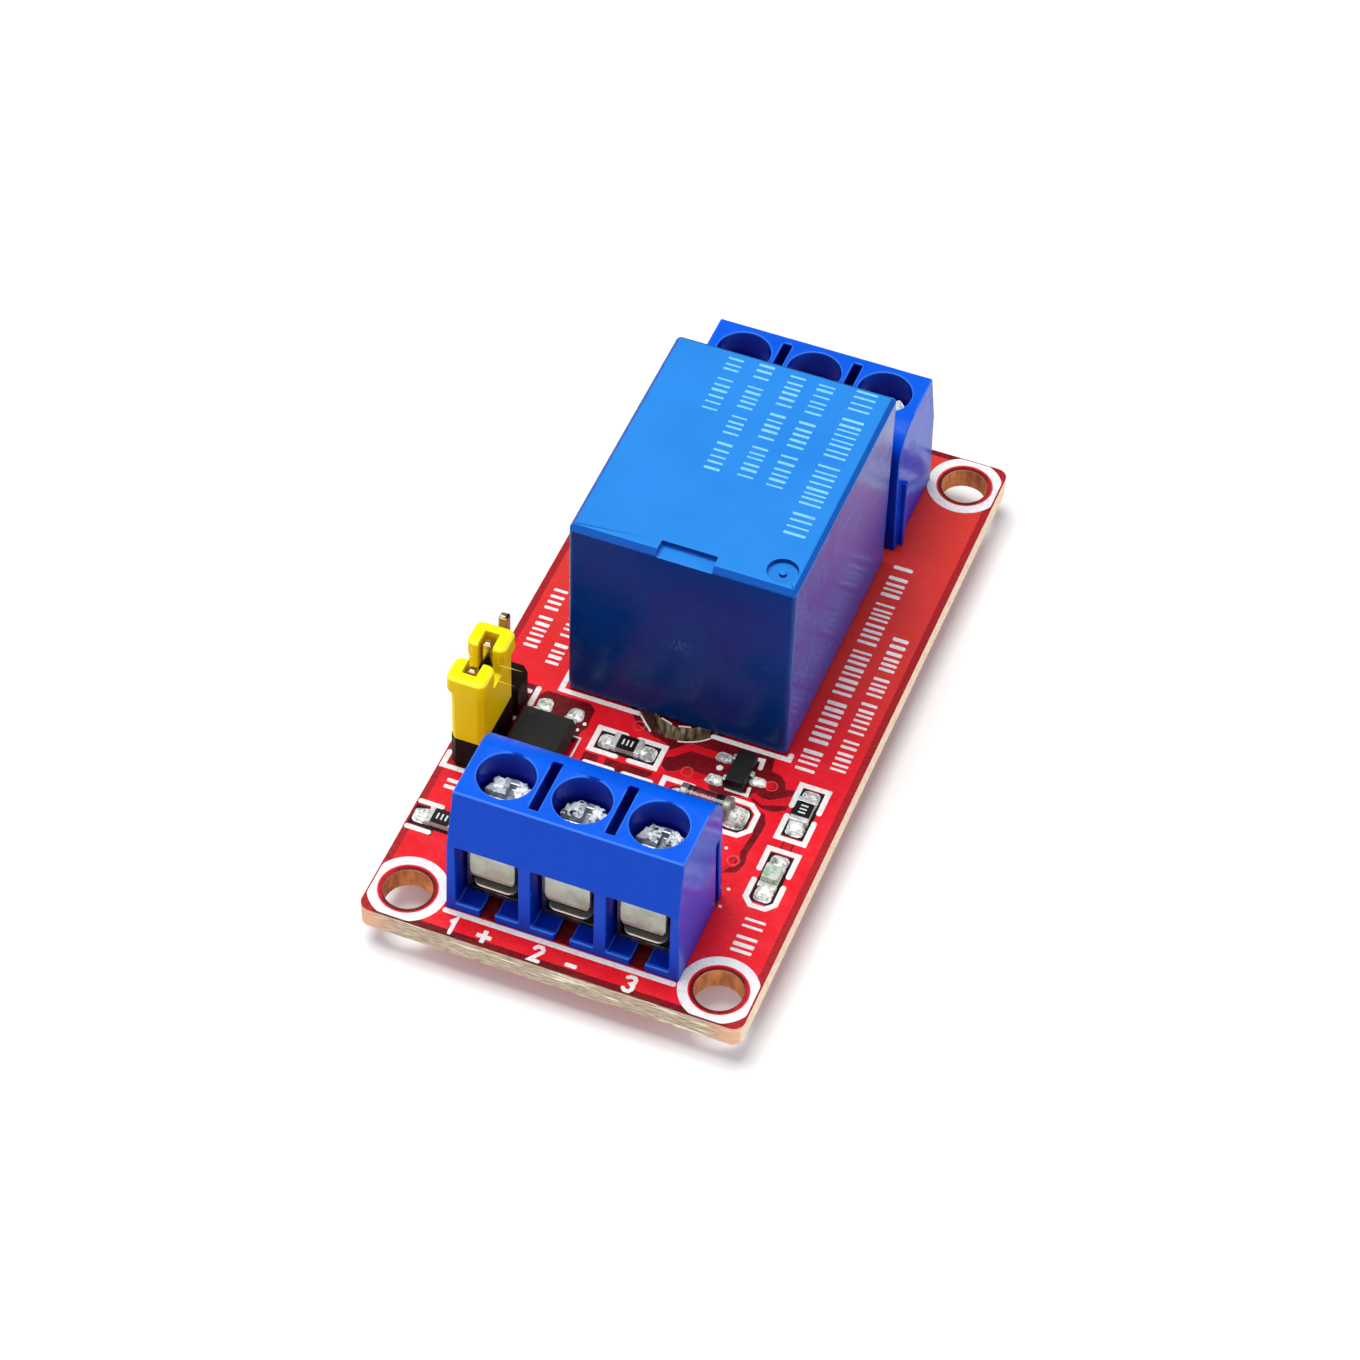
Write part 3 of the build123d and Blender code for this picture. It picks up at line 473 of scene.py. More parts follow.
@dataclass(frozen=True)
class RelayCasePlastic:
    """Polished sides under a finely textured top, the top painted lighter and the sides painted
    darker, with a painted highlight line under the rim, painted reflections on the side faces and
    small smudges.
    """

    name: str = "relay_case_blue"
    # Top colours: painted light, the top painted lighter than the walls.
    top: Colour = srgb(36, 134, 224)
    top_deep: Colour = srgb(30, 128, 218)
    # Rim: painted shade on the chamfer band, which faces forward.
    rim: Colour = srgb(0, 84, 178)
    # Side colours: painted shade on the walls.
    side: Colour = srgb(0, 58, 134)
    side_deep: Colour = srgb(0, 50, 122)
    # Low: painted shade, the walls darker towards the board.
    low: Colour = srgb(14, 48, 116)
    # The two flank colours: painted reflection on the faces along X, paler towards the rear and the
    # top.
    flank: Colour = srgb(40, 70, 164)
    far_flank_reflection: Colour = srgb(104, 120, 190)
    smudge: Colour = srgb(96, 132, 178)
    # Rim line: a painted highlight line on the walls just under the rim, between the rim heights.
    rim_highlight: Colour = srgb(30, 108, 206)
    rim_heights: tuple[float, float] = (18.72, 18.86)
    star_place: Place = (0.15, -4.2, 10.98)

    def make(self) -> bpy.types.Material:
        """Build the material.

        Returns:
            The material.
        """
        sketch = NodeSketch(self.name)
        point = sketch.millimetres()
        up = sketch.facing_up(0.35, 0.9)
        cloud = sketch.mottle(5.0, 3, 0.3, 0.75)
        level = sketch.axis(point, 2)
        # Painted shade: the walls darker towards the board.
        wall = sketch.blend(sketch.spread(level, 3.5, 13.0), self.low, self.side)
        wall = sketch.blend(cloud, wall, self.side_deep)
        # Painted reflection on the faces along X, paler towards the rear and the top.
        far = sketch.spread(sketch.axis(point, 1), -3.0, 15.0)
        high = sketch.spread(level, 6.0, 17.0)
        flank = sketch.blend(sketch.times(far, high), self.flank, self.far_flank_reflection)
        wall = sketch.blend(sketch.facing_side(), wall, flank)
        spots = sketch.mottle(0.55, 3, 0.70, 0.80, stretch=(1, 1, 0.7))
        patches = sketch.mottle(4.5, 1, 0.58, 0.66)
        smear = sketch.times(sketch.times(spots, patches), 0.2)
        wall = sketch.blend(smear, wall, self.smudge)
        wall = sketch.blend(self._star(sketch, point), wall, self.smudge)
        # Painted highlight line just under the rim.
        line = sketch.times(sketch.between(level, *self.rim_heights), 0.75)
        wall = sketch.blend(line, wall, self.rim_highlight)
        # Painted light: the top takes the lighter top colours, and the chamfer band takes the rim's
        # painted shade.
        lit_roof = sketch.blend(cloud, self.top, self.top_deep)
        colour = sketch.blend(sketch.spread(up, 0.0, 0.25), wall, self.rim)
        colour = sketch.blend(sketch.spread(up, 0.75, 1.0), colour, lit_roof)
        sketch.set("Base Color", colour)
        rough = sketch.mottle(1.4, 5, 0.3, 0.7, 0.16, 0.3)
        dull = sketch.mottle(0.5, 4, 0.3, 0.7, 0.46, 0.6)
        sketch.set("Roughness", sketch.mixed(up, rough, dull))
        wave = sketch.bump(sketch.noise(3.0, 2), 0.03, 0.3, sketch.steady())
        sketch.set("Normal", sketch.bump(sketch.noise(0.09, 2), 0.0015, 0.35, wave))
        sketch.set("Specular IOR Level", 0.16)
        return sketch.material

    def _star(self, sketch: NodeSketch, point: Socket) -> Socket:
        """Share of the pale smudged spot in the middle of the front.

        Args:
            sketch: Sketch that the nodes go to.
            point: Position in millimetres.

        Returns:
            The share.
        """
        away = sketch.add("ShaderNodeVectorMath", operation="DISTANCE")
        sketch.join(point, away.inputs[0])
        away.inputs[1].default_value = self.star_place
        near = sketch.spread(away.outputs["Value"], 0.1, 1.0, 1.0, 0.0)
        streaks = sketch.mottle(0.32, 3, 0.42, 0.72, stretch=(1.6, 1, 0.8))
        return sketch.times(sketch.times(near, streaks), 0.75)


@dataclass(frozen=True)
class Plated:
    """Plated or bare metal with a fine brushing, cloudy tarnish, bright edges that are part wear
    and part painted highlight, and painted reflection bands at given heights.
    """

    name: str
    colour: Colour
    tarnish: Colour
    roughness: float = 0.28
    rough_spread: float = 0.1
    brush: Sequence[float] = (1, 1, 1)
    brush_size: float = 0.15
    brush_depth: float = 0.006
    cloud: float = 1.1
    metallic: float = 1.0
    grime: Colour | None = None
    # Bands: level stripes of painted reflection and highlight, each a low height, a high height and
    # a colour.
    reflection_bands: tuple[tuple[float, float, Colour], ...] = ()
    # Worn colour: bright edges, part wear and part painted highlight.
    worn: Colour = srgb(240, 240, 236)
    edge_wear_highlight_share: float = 0.5

    def make(self) -> bpy.types.Material:
        """Build the material.

        Returns:
            The material.
        """
        sketch = NodeSketch(self.name)
        cloud = sketch.mottle(self.cloud, 5, 0.38, 0.7)
        colour = sketch.blend(cloud, self.colour, self.tarnish)
        # Bright edges, part wear and part painted highlight.
        colour = sketch.blend(sketch.times(sketch.edges(), self.edge_wear_highlight_share), colour, self.worn)
        if self.grime is not None:
            spots = sketch.mottle(0.42, 3, 0.57, 0.62)
            colour = sketch.blend(spots, colour, self.grime)
        # Painted reflection bands by height.
        height = sketch.axis(sketch.millimetres(), 2)
        for low_z, high_z, shade in self.reflection_bands:
            colour = sketch.blend(sketch.between(height, low_z, high_z), colour, shade)
        sketch.set("Base Color", colour)
        sketch.set("Metallic", self.metallic)
        low = self.roughness - self.rough_spread
        high = self.roughness + self.rough_spread
        sketch.set("Roughness", sketch.mottle(0.4, 4, 0.3, 0.7, low, high, stretch=self.brush))
        lines = sketch.noise(self.brush_size, 3, self.brush)
        sketch.set("Normal", sketch.bump(lines, self.brush_depth, 0.7))
        return sketch.material


@dataclass(frozen=True)
class SolderMetal:
    """Bright solder, wavy where it froze, with dull patches and thin veins of painted dark
    reflection.
    """

    name: str = "solder_bright"
    bright: Colour = srgb(250, 251, 244)
    dull: Colour = srgb(168, 170, 164)
    # Dark veins: painted reflection of dark surroundings.
    dark_reflection: Colour = srgb(44, 40, 36)

    def make(self) -> bpy.types.Material:
        """Build the material.

        Returns:
            The material.
        """
        sketch = NodeSketch(self.name)
        cloud = sketch.mottle(0.8, 4, 0.5, 0.62)
        colour = sketch.blend(cloud, self.bright, self.dull)
        # Thin dark veins of painted reflection.
        veins = sketch.math("ABSOLUTE", sketch.math("SUBTRACT", sketch.noise(0.55, 3), 0.5))
        marks = sketch.spread(veins, 0.006, 0.022, 0.75, 0.0)
        sketch.set("Base Color", sketch.blend(marks, colour, self.dark_reflection))
        sketch.set("Metallic", 0.15)
        sketch.set("Roughness", sketch.mottle(0.3, 4, 0.3, 0.7, 0.2, 0.42))
        waves = sketch.bump(sketch.noise(0.42, 2), 0.09, 0.9)
        sketch.set("Normal", sketch.bump(sketch.noise(0.1, 3), 0.012, 0.6, waves))
        return sketch.material


@dataclass(frozen=True)
class BareBoard:
    """Mask over bare laminate on the faces, sawn laminate on the edges and in the holes."""

    name: str = "board_mask_bare"
    mask: Colour = srgb(128, 12, 20)
    mask_deep: Colour = srgb(98, 8, 14)
    mask_margin: Colour = srgb(170, 26, 34)
    edge: Colour = srgb(222, 200, 174)
    edge_dark: Colour = srgb(158, 142, 120)
    edge_bright: Colour = srgb(255, 246, 222)
    edge_corner: Colour = srgb(250, 190, 152)
    wall: Colour = srgb(240, 160, 98)
    wall_dark: Colour = srgb(184, 118, 72)
    wall_rim: Colour = srgb(236, 170, 132)
    slot_wall: Colour = srgb(246, 226, 186)
    slot_deep: Colour = srgb(128, 108, 82)
    rim_heights: tuple[float, float] = (3.34, 3.44)
    slot_reach: float = 3.9
    skin: float = 0.3

    def make(self) -> bpy.types.Material:
        """Build the material.

        Returns:
            The material.
        """
        sketch = NodeSketch(self.name)
        flat = sketch.facing_flat()
        point = sketch.millimetres()
        weave = sketch.noise(0.35, 2, (1, 1, 1))
        face = sketch.blend(sketch.mottle(2.5, 4, 0.3, 0.7), self.mask, self.mask_deep)
        across = sketch.reach(point, 0)
        margin = sketch.spread(across, BOARD_HALF_X - 1.3, BOARD_HALF_X - 0.9)
        face = sketch.blend(margin, face, self.mask_margin)
        fibres = sketch.noise(0.16, 4, (0.22, 0.22, 1.6))
        sawn = sketch.blend(sketch.spread(fibres, 0.36, 0.66), self.edge, self.edge_dark)
        layers = sketch.mottle(0.3, 2, 0.56, 0.66, stretch=(0.12, 0.12, 1.3))
        sawn = sketch.blend(layers, sawn, self.edge_bright)
        corner = sketch.spread(across, BOARD_HALF_X - 3.2, BOARD_HALF_X - 0.4, 0.0, 0.8)
        sawn = sketch.blend(corner, sawn, self.edge_corner)
        flank = sketch.blend(sketch.spread(fibres, 0.4, 0.7), self.edge_bright, self.edge_corner)
        sawn = sketch.blend(sketch.times(sketch.facing_side(), 0.85), sawn, flank)
        bore = sketch.blend(sketch.mottle(0.5, 4, 0.35, 0.68, stretch=(1, 1, 0.3)),
                            self.wall, self.wall_dark)
        top_edge = sketch.spread(sketch.axis(point, 2), *self.rim_heights)
        bore = sketch.blend(top_edge, bore, self.wall_rim)
        ribs = sketch.mottle(0.3, 3, 0.4, 0.62, stretch=(1, 1, 0.2))
        milled = sketch.blend(ribs, self.slot_wall, self.slot_deep)
        near_slot = self._near_slot(sketch, point)
        inner = sketch.blend(near_slot, bore, milled)
        wall = sketch.blend(self._outer_wall(sketch, point), inner, sawn)
        sketch.set("Base Color", sketch.blend(flat, wall, face))
        sketch.set("Specular IOR Level", 0.3)
        gloss = sketch.spread(weave, 0.3, 0.7, 0.24, 0.36)
        sketch.set("Roughness", sketch.mixed(flat, 0.8, gloss))
        height = sketch.mixed(flat, fibres, sketch.times(weave, 0.06))
        sketch.set("Normal", sketch.bump(height, 0.08, 0.9))
        return sketch.material

    def _outer_wall(self, sketch: NodeSketch, point: Socket) -> Socket:
        """1 on the board's outline, 0 inside it.

        Args:
            sketch: Sketch that the nodes go to.
            point: Position in millimetres.

        Returns:
            The share.
        """
        reach_x = sketch.reach(point, 0)
        reach_y = sketch.reach(point, 1)
        at_x = sketch.math("GREATER_THAN", reach_x, BOARD_HALF_X - self.skin)
        at_y = sketch.math("GREATER_THAN", reach_y, BOARD_HALF_Y - self.skin)
        return sketch.math("MAXIMUM", at_x, at_y)

    def _near_slot(self, sketch: NodeSketch, point: Socket) -> Socket:
        """1 within the slot's reach, 0 beyond it.

        Args:
            sketch: Sketch that the nodes go to.
            point: Position in millimetres.

        Returns:
            The share.
        """
        offset = sketch.add("ShaderNodeVectorMath", operation="DISTANCE")
        flat_point = sketch.add("ShaderNodeCombineXYZ")
        sketch.join(sketch.axis(point, 0), flat_point.inputs[0])
        sketch.join(sketch.axis(point, 1), flat_point.inputs[1])
        sketch.join(flat_point.outputs[0], offset.inputs[0])
        offset.inputs[1].default_value = (*SLOT_PLACE, 0)
        return sketch.math("LESS_THAN", offset.outputs["Value"], self.slot_reach)


@dataclass(frozen=True)
class CopperMask:
    """Glossy solder mask over copper, with faint waves and dust, and a painted sheen that pales it
    towards the rear.
    """

    name: str
    colour: Colour
    deep: Colour
    # Dull colour: painted sheen, blended in towards the rear between the two limits along Y.
    dull: Colour
    sheen_from: float = -6.0
    sheen_to: float = 8.0
    dust: Colour = srgb(236, 150, 146)

    def make(self) -> bpy.types.Material:
        """Build the material.

        Returns:
            The material.
        """
        sketch = NodeSketch(self.name)
        cloud = sketch.mottle(4.0, 4, 0.3, 0.72)
        colour = sketch.blend(cloud, self.colour, self.deep)
        # Painted sheen: paler towards the rear.
        back = sketch.spread(sketch.axis(sketch.millimetres(), 1), self.sheen_from, self.sheen_to)
        colour = sketch.blend(back, colour, self.dull)
        dust = sketch.mottle(0.22, 3, 0.66, 0.76, 0.0, 0.16)
        sketch.set("Base Color", sketch.blend(dust, colour, self.dust))
        sketch.set("Specular IOR Level", 0.35)
        sketch.set("Roughness", sketch.mottle(0.8, 5, 0.3, 0.7, 0.2, 0.34))
        waves = sketch.bump(sketch.noise(1.3, 3), 0.02, 0.5)
        sketch.set("Normal", sketch.bump(sketch.noise(0.2, 3), 0.003, 0.5, waves))
        return sketch.material


@dataclass(frozen=True)
class Print:
    """Screen-printed ink, slightly uneven in cover and edge."""

    name: str
    colour: Colour
    thin: Colour
    roughness: float = 0.6

    def make(self) -> bpy.types.Material:
        """Build the material.

        Returns:
            The material.
        """
        sketch = NodeSketch(self.name)
        worn = sketch.mottle(0.3, 4, 0.42, 0.72, 0.0, 0.7)
        sketch.set("Base Color", sketch.blend(worn, self.colour, self.thin))
        sketch.set("Roughness", sketch.mottle(0.5, 3, 0.3, 0.7, self.roughness - 0.1,
                                              self.roughness + 0.1))
        sketch.set("Normal", sketch.bump(sketch.noise(0.14, 3), 0.006, 0.6))
        return sketch.material


@dataclass(frozen=True)
class ClearCast:
    """Clear or milky cast resin or glass with faint tint and small inclusions."""

    name: str
    tint: Colour
    milk: Colour
    transmission: float = 0.7
    roughness: float = 0.08
    band: tuple[float, float] | None = None
    band_ink: Colour = srgb(16, 14, 14)
    spread: float = 0.12

    def make(self) -> bpy.types.Material:
        """Build the material, with a dark band across X if it has one.

        Returns:
            The material.
        """
        sketch = NodeSketch(self.name)
        cloud = sketch.mottle(0.5, 3, 0.4, 0.7)
        colour = sketch.blend(cloud, self.tint, self.milk)
        if self.band is not None:
            along = sketch.axis(sketch.millimetres(), 0)
            inside = sketch.between(along, *self.band)
            colour = sketch.blend(inside, colour, self.band_ink)
            sketch.set("Transmission Weight", sketch.mixed(inside, self.transmission, 0.0))
        else:
            sketch.set("Transmission Weight", self.transmission)
        sketch.set("Base Color", colour)
        sketch.set("IOR", 1.5)
        sketch.set("Roughness", sketch.mottle(0.4, 3, 0.3, 0.7, self.roughness,
                                              self.roughness + self.spread))
        sketch.set("Normal", sketch.bump(sketch.noise(0.6, 2), 0.01, 0.5))
        return sketch.material


class Loops:
    """Plane outlines in millimetres, made of points."""

    @staticmethod
    def circle(centre: Point, radius: float, count: int = 48, start: float = 0.0,
               sweep: float = 360.0) -> list[Point]:
        """Points round a circle or along an arc.

        Args:
            centre: Middle of the circle.
            radius: Its radius.
            count: Number of points.
            start: First angle in degrees.
            sweep: Angle covered; a full turn leaves out the repeated last point.

        Returns:
            The points in order.
        """
        full = abs(sweep) >= 360
        steps = count if full else count - 1
        angles = [math.radians(start + sweep * n / steps) for n in range(count)]
        x, y = centre
        return [(x + radius * math.cos(a), y + radius * math.sin(a)) for a in angles]

    @staticmethod
    def kept_inside(points: Iterable[Point], half_x: float, half_y: float) -> list[Point]:
        """Points held within a rectangle about the middle of the board.

        Args:
            points: The points.
            half_x: Half length along X.
            half_y: Half length along Y.

        Returns:
            The held points.
        """
        def held(value: float, half: float) -> float:
            """One coordinate held within its half width."""
            return max(-half, min(half, value))

        return [(held(x, half_x), held(y, half_y)) for x, y in points]

    @staticmethod
    def line(points: Sequence[Point], width: float) -> list[list[Point]]:
        """Outline of a drawn line with round ends and mitred corners.

        Args:
            points: Points of the line.
            width: Its width.

        Returns:
            The outline, as the only one of a group.
        """
        half = width / 2
        left, right = [], []
        for n, point in enumerate(points):
            here = Vector(point)
            ways = []
            if n > 0:
                ways.append((here - Vector(points[n - 1])).normalized())
            if n < len(points) - 1:
                ways.append((Vector(points[n + 1]) - here).normalized())
            way = sum(ways, Vector((0, 0))).normalized()
            side = Vector((-way.y, way.x))
            reach = half / max(0.35, side.dot(Vector((-ways[0].y, ways[0].x))))
            left.append(tuple(here + side * reach))
            right.append(tuple(here - side * reach))

        def cap(end: Point, inner: Point) -> list[Point]:
            """Half circle round one end."""
            heading = math.degrees(math.atan2(end[1] - inner[1], end[0] - inner[0]))
            return Loops.circle(end, half, 7, heading + 90, -180)[1:-1]

        return [left + cap(points[-1], points[-2]) + right[::-1] + cap(points[0], points[1])]

    @staticmethod
    def beside(centre: Point, turn: float, along: float) -> Point:
        """Point some way from a centre, along an axis turned from X by some degrees."""
        shift = Matrix.Rotation(math.radians(turn), 2) @ Vector((along, 0))
        return centre[0] + shift.x, centre[1] + shift.y

    @staticmethod
    def bar(centre: Point, length: float, height: float, turn: float = 0.0,
            rounding: float = 0.3) -> list[Point]:
        """Outline of a bar whose corners are rounded by a share of its lesser side.

        Args:
            centre: Middle of the bar.
            length: Length along it.
            height: Width across it.
            turn: Turn from X in degrees.
            rounding: Corner radius as a share of the lesser side.

        Returns:
            The outline.
        """
        radius = min(length, height) * rounding
        points = []
        for sx, sy, start in ((1, 1, 0), (-1, 1, 90), (-1, -1, 180), (1, -1, 270)):
            corner = (sx * (length / 2 - radius), sy * (height / 2 - radius))
            points += Loops.circle(corner, radius, 4, start, 90)
        rotation = Matrix.Rotation(math.radians(turn), 2)
        return [tuple(rotation @ Vector(p) + Vector(centre)) for p in points]


class Shop:
    """Makes the objects that scene pieces are, and hangs them on the frame."""

    @staticmethod
    def mesh_object(name: str, mesh: bpy.types.Mesh, material: bpy.types.Material,
                    body: Body, slot: Slot) -> bpy.types.Object:
        """Link a mesh as a piece that rides on a body.

        Args:
            name: Name of the piece.
            mesh: Its mesh, in metres.
            material: Its finish.
            body: Body it rides on.
            slot: Not used.

        Returns:
            The object.
        """
        mesh.materials.clear()
        mesh.materials.append(material)
        piece = bpy.data.objects.new(name, mesh)
        bpy.context.scene.collection.objects.link(piece)
        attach(piece, body.value)
        LOG.info("%s: %d faces on %s", name, len(mesh.polygons), body.value)
        return piece

    @staticmethod
    def slab(name: str, groups: Iterable[Sequence[Sequence[Point]]], low: float, high: float,
             material: bpy.types.Material, body: Body = Body.BOARD,
             slot: Slot = Slot.BOARD) -> bpy.types.Object:
        """Flat plates between two heights.

        Args:
            name: Name of the piece.
            groups: Each an outline followed by the outlines of its holes.
            low: Lower face's height.
            high: Upper face's height.
            material: Finish.
            body: Body that carries it.
            slot: Record slot.

        Returns:
            The piece.
        """
        built = bmesh.new()
        for loops in groups:
            curve = bpy.data.curves.new(name, "CURVE")
            curve.dimensions = "2D"
            curve.fill_mode = "BOTH"
            curve.extrude = (high - low) / 2 * MM
            for loop in loops:
                spline = curve.splines.new("POLY")
                spline.points.add(len(loop) - 1)
                for target, (x, y) in zip(spline.points, loop):
                    target.co = (x * MM, y * MM, 0, 1)
                spline.use_cyclic_u = True
            holder = bpy.data.objects.new(name + "_outline", curve)
            flat = bpy.data.meshes.new_from_object(holder)
            flat.transform(Matrix.Translation((0, 0, (low + high) / 2 * MM)))
            built.from_mesh(flat)
            bpy.data.objects.remove(holder)
            bpy.data.curves.remove(curve)
            bpy.data.meshes.remove(flat)
        bmesh.ops.remove_doubles(built, verts=built.verts, dist=0.5e-6)
        mesh = bpy.data.meshes.new(name)
        built.to_mesh(mesh)
        built.free()
        return Shop.mesh_object(name, mesh, material, body, slot)

    @staticmethod
    def shape(name: str, verts: Sequence[Vector], faces: Sequence[Sequence[int]],
              material: bpy.types.Material, body: Body, slot: Slot,
              smooth: bool = True) -> bpy.types.Object:
        """Piece from points in millimetres and faces.

        Args:
            name: Name of the piece.
            verts: Points in millimetres.
            faces: Indices of the points of each face.
            material: Finish.
            body: Body that carries it.
            slot: Record slot.
            smooth: Whether it is shaded smooth.

        Returns:
            The piece.
        """
        mesh = bpy.data.meshes.new(name)
        mesh.from_pydata([Vector(v) * MM for v in verts], [], faces)
        mesh.validate()
        if smooth:
            mesh.shade_smooth()
        return Shop.mesh_object(name, mesh, material, body, slot)

    @staticmethod
    def dress(node: str, material: bpy.types.Material, round_edge: float = 0.0) -> None:
        """Give a frame node its finish, and soft edges where it has them.

        Args:
            node: Name of the node.
            material: Finish.
            round_edge: Width of the edge rounding in millimetres.
        """
        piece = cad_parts[node]
        if not piece.material_slots:
            piece.data.materials.append(material)
        for place in piece.material_slots:
            place.material = material
        if round_edge <= 0:
            return
        weld = piece.modifiers.new("weld", "WELD")
        weld.merge_threshold = 2e-7
        bevel = piece.modifiers.new("soft_edge", "BEVEL")
        bevel.width = round_edge * MM
        bevel.segments = 2
        bevel.limit_method = "ANGLE"
        bevel.angle_limit = math.radians(ROUNDED_FROM)
        bevel.miter_outer = "MITER_ARC"
        bevel.use_clamp_overlap = False
        bevel.loop_slide = False
        bevel.face_strength_mode = "FSTR_ALL"
        even = piece.modifiers.new("even_shading", "WEIGHTED_NORMAL")
        even.keep_sharp = True
        even.use_face_influence = True
        even.weight = 100
        LOG.info("%s: finish %s, edge %.2f mm", node, material.name, round_edge)


@dataclass
class Level:
    """Heights of the thin layers on the upper face, in millimetres."""

    board_top: float = field(default_factory=lambda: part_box("circuit_board")[1].z / MM)
    board_bottom: float = field(default_factory=lambda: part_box("circuit_board")[0].z / MM)
    copper: float = 0.030
    channel: float = 0.033
    track: float = 0.042
    via: float = 0.048
    ink: float = 0.055
    bed: float = 0.045
    pad: float = 0.055
    sunk: float = 0.01
    ink_foot: float = 0.02


@dataclass
class CircuitBoard:
    """Copper fields under the mask, their channels and tracks, and the vias' rings."""

    level: Level
    margin: float = 0.5
    corner_cut: float = 0.5
    hole_ring: float = 1.85
    lead_ring: float = 1.25
    via_places: tuple[Point, ...] = ((7.77, -6.94), (2.25, -7.9), (7.68, -13.68), (-2.1, -5.4))
    via_hole: float = 0.25
    via_ring: tuple[float, float] = (0.34, 0.44)
    slot_ring: float = 3.72
    slot_clear: float = 3.42
    # The last colour of each mask is its painted sheen towards the rear.
    bright: CopperMask = CopperMask("board_mask_copper", srgb(246, 30, 44), srgb(228, 22, 36),
                                    srgb(222, 56, 48))
    track: CopperMask = CopperMask("board_mask_track", srgb(230, 24, 36), srgb(210, 18, 30),
                                   srgb(206, 48, 40))
    rim: CopperMask = CopperMask("board_mask_rim", srgb(238, 86, 84), srgb(214, 52, 54),
                                 srgb(214, 60, 58))
    plug: CopperMask = CopperMask("board_mask_plug", srgb(70, 6, 10), srgb(46, 4, 8),
                                  srgb(60, 8, 10))
    bare: BareBoard = BareBoard()

    def build(self) -> None:
        """Dress the board node and lay every layer on it."""
        bare = self.bare.make()
        copper = self.bright.make()
        track = self.track.make()
        Shop.dress("circuit_board", bare)
        top, under, level = self.level.board_top, self.level.board_bottom, self.level
        Shop.slab("copper_field_top", [self._field(True)], top - level.sunk, top + level.copper,
                  copper)
        Shop.slab("copper_field_under", [self._field(False)], under - level.copper,
                  under + level.sunk, copper)
        channels = [[loop] for loop in self._channels()]
        Shop.slab("bare_channels", channels, top, top + level.channel, bare)
        tracks = [Loops.line(points, width) for points, width in self._tracks()]
        Shop.slab("copper_tracks", tracks, top, top + level.track, track)
        inner, outer = self.via_ring
        rings = [[Loops.circle(place, outer, 24), Loops.circle(place, inner, 20)]
                 for place in self.via_places]
        Shop.slab("via_rings", rings, top, top + level.via, self.rim.make())
        plugs = [[Loops.circle(place, self.via_hole, 16)] for place in self.via_places]
        Shop.slab("via_plugs", plugs, top - 0.3, top - 0.2, self.plug.make())

    def _field(self, upper: bool) -> list[list[Point]]:
        """Outline of one copper field and its holes.

        Args:
            upper: Whether it is the upper one.

        Returns:
            The outline and its holes.
        """
        x, y = BOARD_HALF_X - self.margin, BOARD_HALF_Y - self.margin
        cut = self.corner_cut
        outer = [(-x + cut, -y), (x - cut, -y), (x, -y + cut), (x, y - cut), (x - cut, y),
                 (-x + cut, y), (-x, y - cut), (-x, -y + cut)]
        loops = [outer]
        loops += [Loops.circle(place, self.hole_ring, 40) for place in HOLE_PLACES]
        loops += [Loops.circle(place, self.via_hole, 12) for place in self.via_places[:3]]
        loops.append(Loops.circle(SLOT_PLACE, self.slot_ring, 56))
        if not upper:
            loops += [Loops.circle(place, self.lead_ring, 24) for place in self.lead_places()]
        return loops

    def lead_places(self) -> list[Point]:
        """Where the terminals', the header's and the relay's leads come through.

        Returns:
            The places.
        """
        places = [(0.12 + n * POLE_PITCH, -20.75) for n in (-1, 0, 1)]
        places += [(0.22 + n * POLE_PITCH, 20.15) for n in (-1, 0, 1)]
        places += [(-11.1, -9.24 + n * PIN_PITCH) for n in (-1, 0, 1)]
        places += [(0.02 + side * 6.0, y) for side in (-1, 1) for y in (-0.3, 11.9)]
        return places

    def _channels(self) -> list[list[Point]]:
        """Bare outlines that part the copper field.

        Returns:
            The outlines.
        """
        return [
            [(-2.9, -4.6), (-2.35, -5.25), (-0.85, -5.85), (0.4, -6.3), (0.5, -8.0), (0.95, -8.35),
             (2.25, -7.75), (3.5, -7.8), (4.4, -9.1), (7.2, -8.2), (8.05, -8.1), (9.3, -7.25),
             (9.3, -6.72), (8.72, -6.85), (8.45, -6.25), (8.02, -5.85), (7.35, -5.75), (7.15, -4.6),
             *Loops.circle(SLOT_PLACE, self.slot_clear, 16, -41.7, -96.6)],
            [(6.9, -8.5), (7.8, -8.95), (8.6, -8.95), (9.35, -8.5), (9.35, -8.1), (8.4, -8.42),
             (7.8, -8.66), (6.95, -8.3)],
            [(8.2, -9.3), (8.55, -10.1), (8.5, -11.1), (8.32, -12.9), (8.47, -13.6), (8.2, -14.55),
             (7.3, -14.9), (7.3, -14.45), (7.95, -14.15), (8.02, -13.6), (7.85, -12.8),
             (8.05, -11.1), (7.6, -10.0), (7.4, -9.1)],
            [(10.1, -10.85), (10.85, -10.85), (10.85, -11.75), (10.1, -11.75)],
            [(-4.6, -8.8), (0.2, -8.8), (0.2, -9.75), (-4.6, -9.75)],
            [(-13.0, -16.6), (-11.0, -16.6), (-11.0, -19.2), (-13.0, -19.2)],
            [(-12.9, -13.6), (-9.4, -13.6), (-9.4, -4.7), (-12.9, -4.7)],
            [(-9.2, -5.3), (-8.8, -4.85), (-5.75, -4.85), (-5.3, -5.25), (-5.2, -6.9),
             (-5.45, -7.4), (-5.45, -8.4), (-9.2, -8.4)],
            [(-7.9, -24.1), (8.0, -24.1), (8.0, -16.6), (-7.9, -16.6)],
        ]

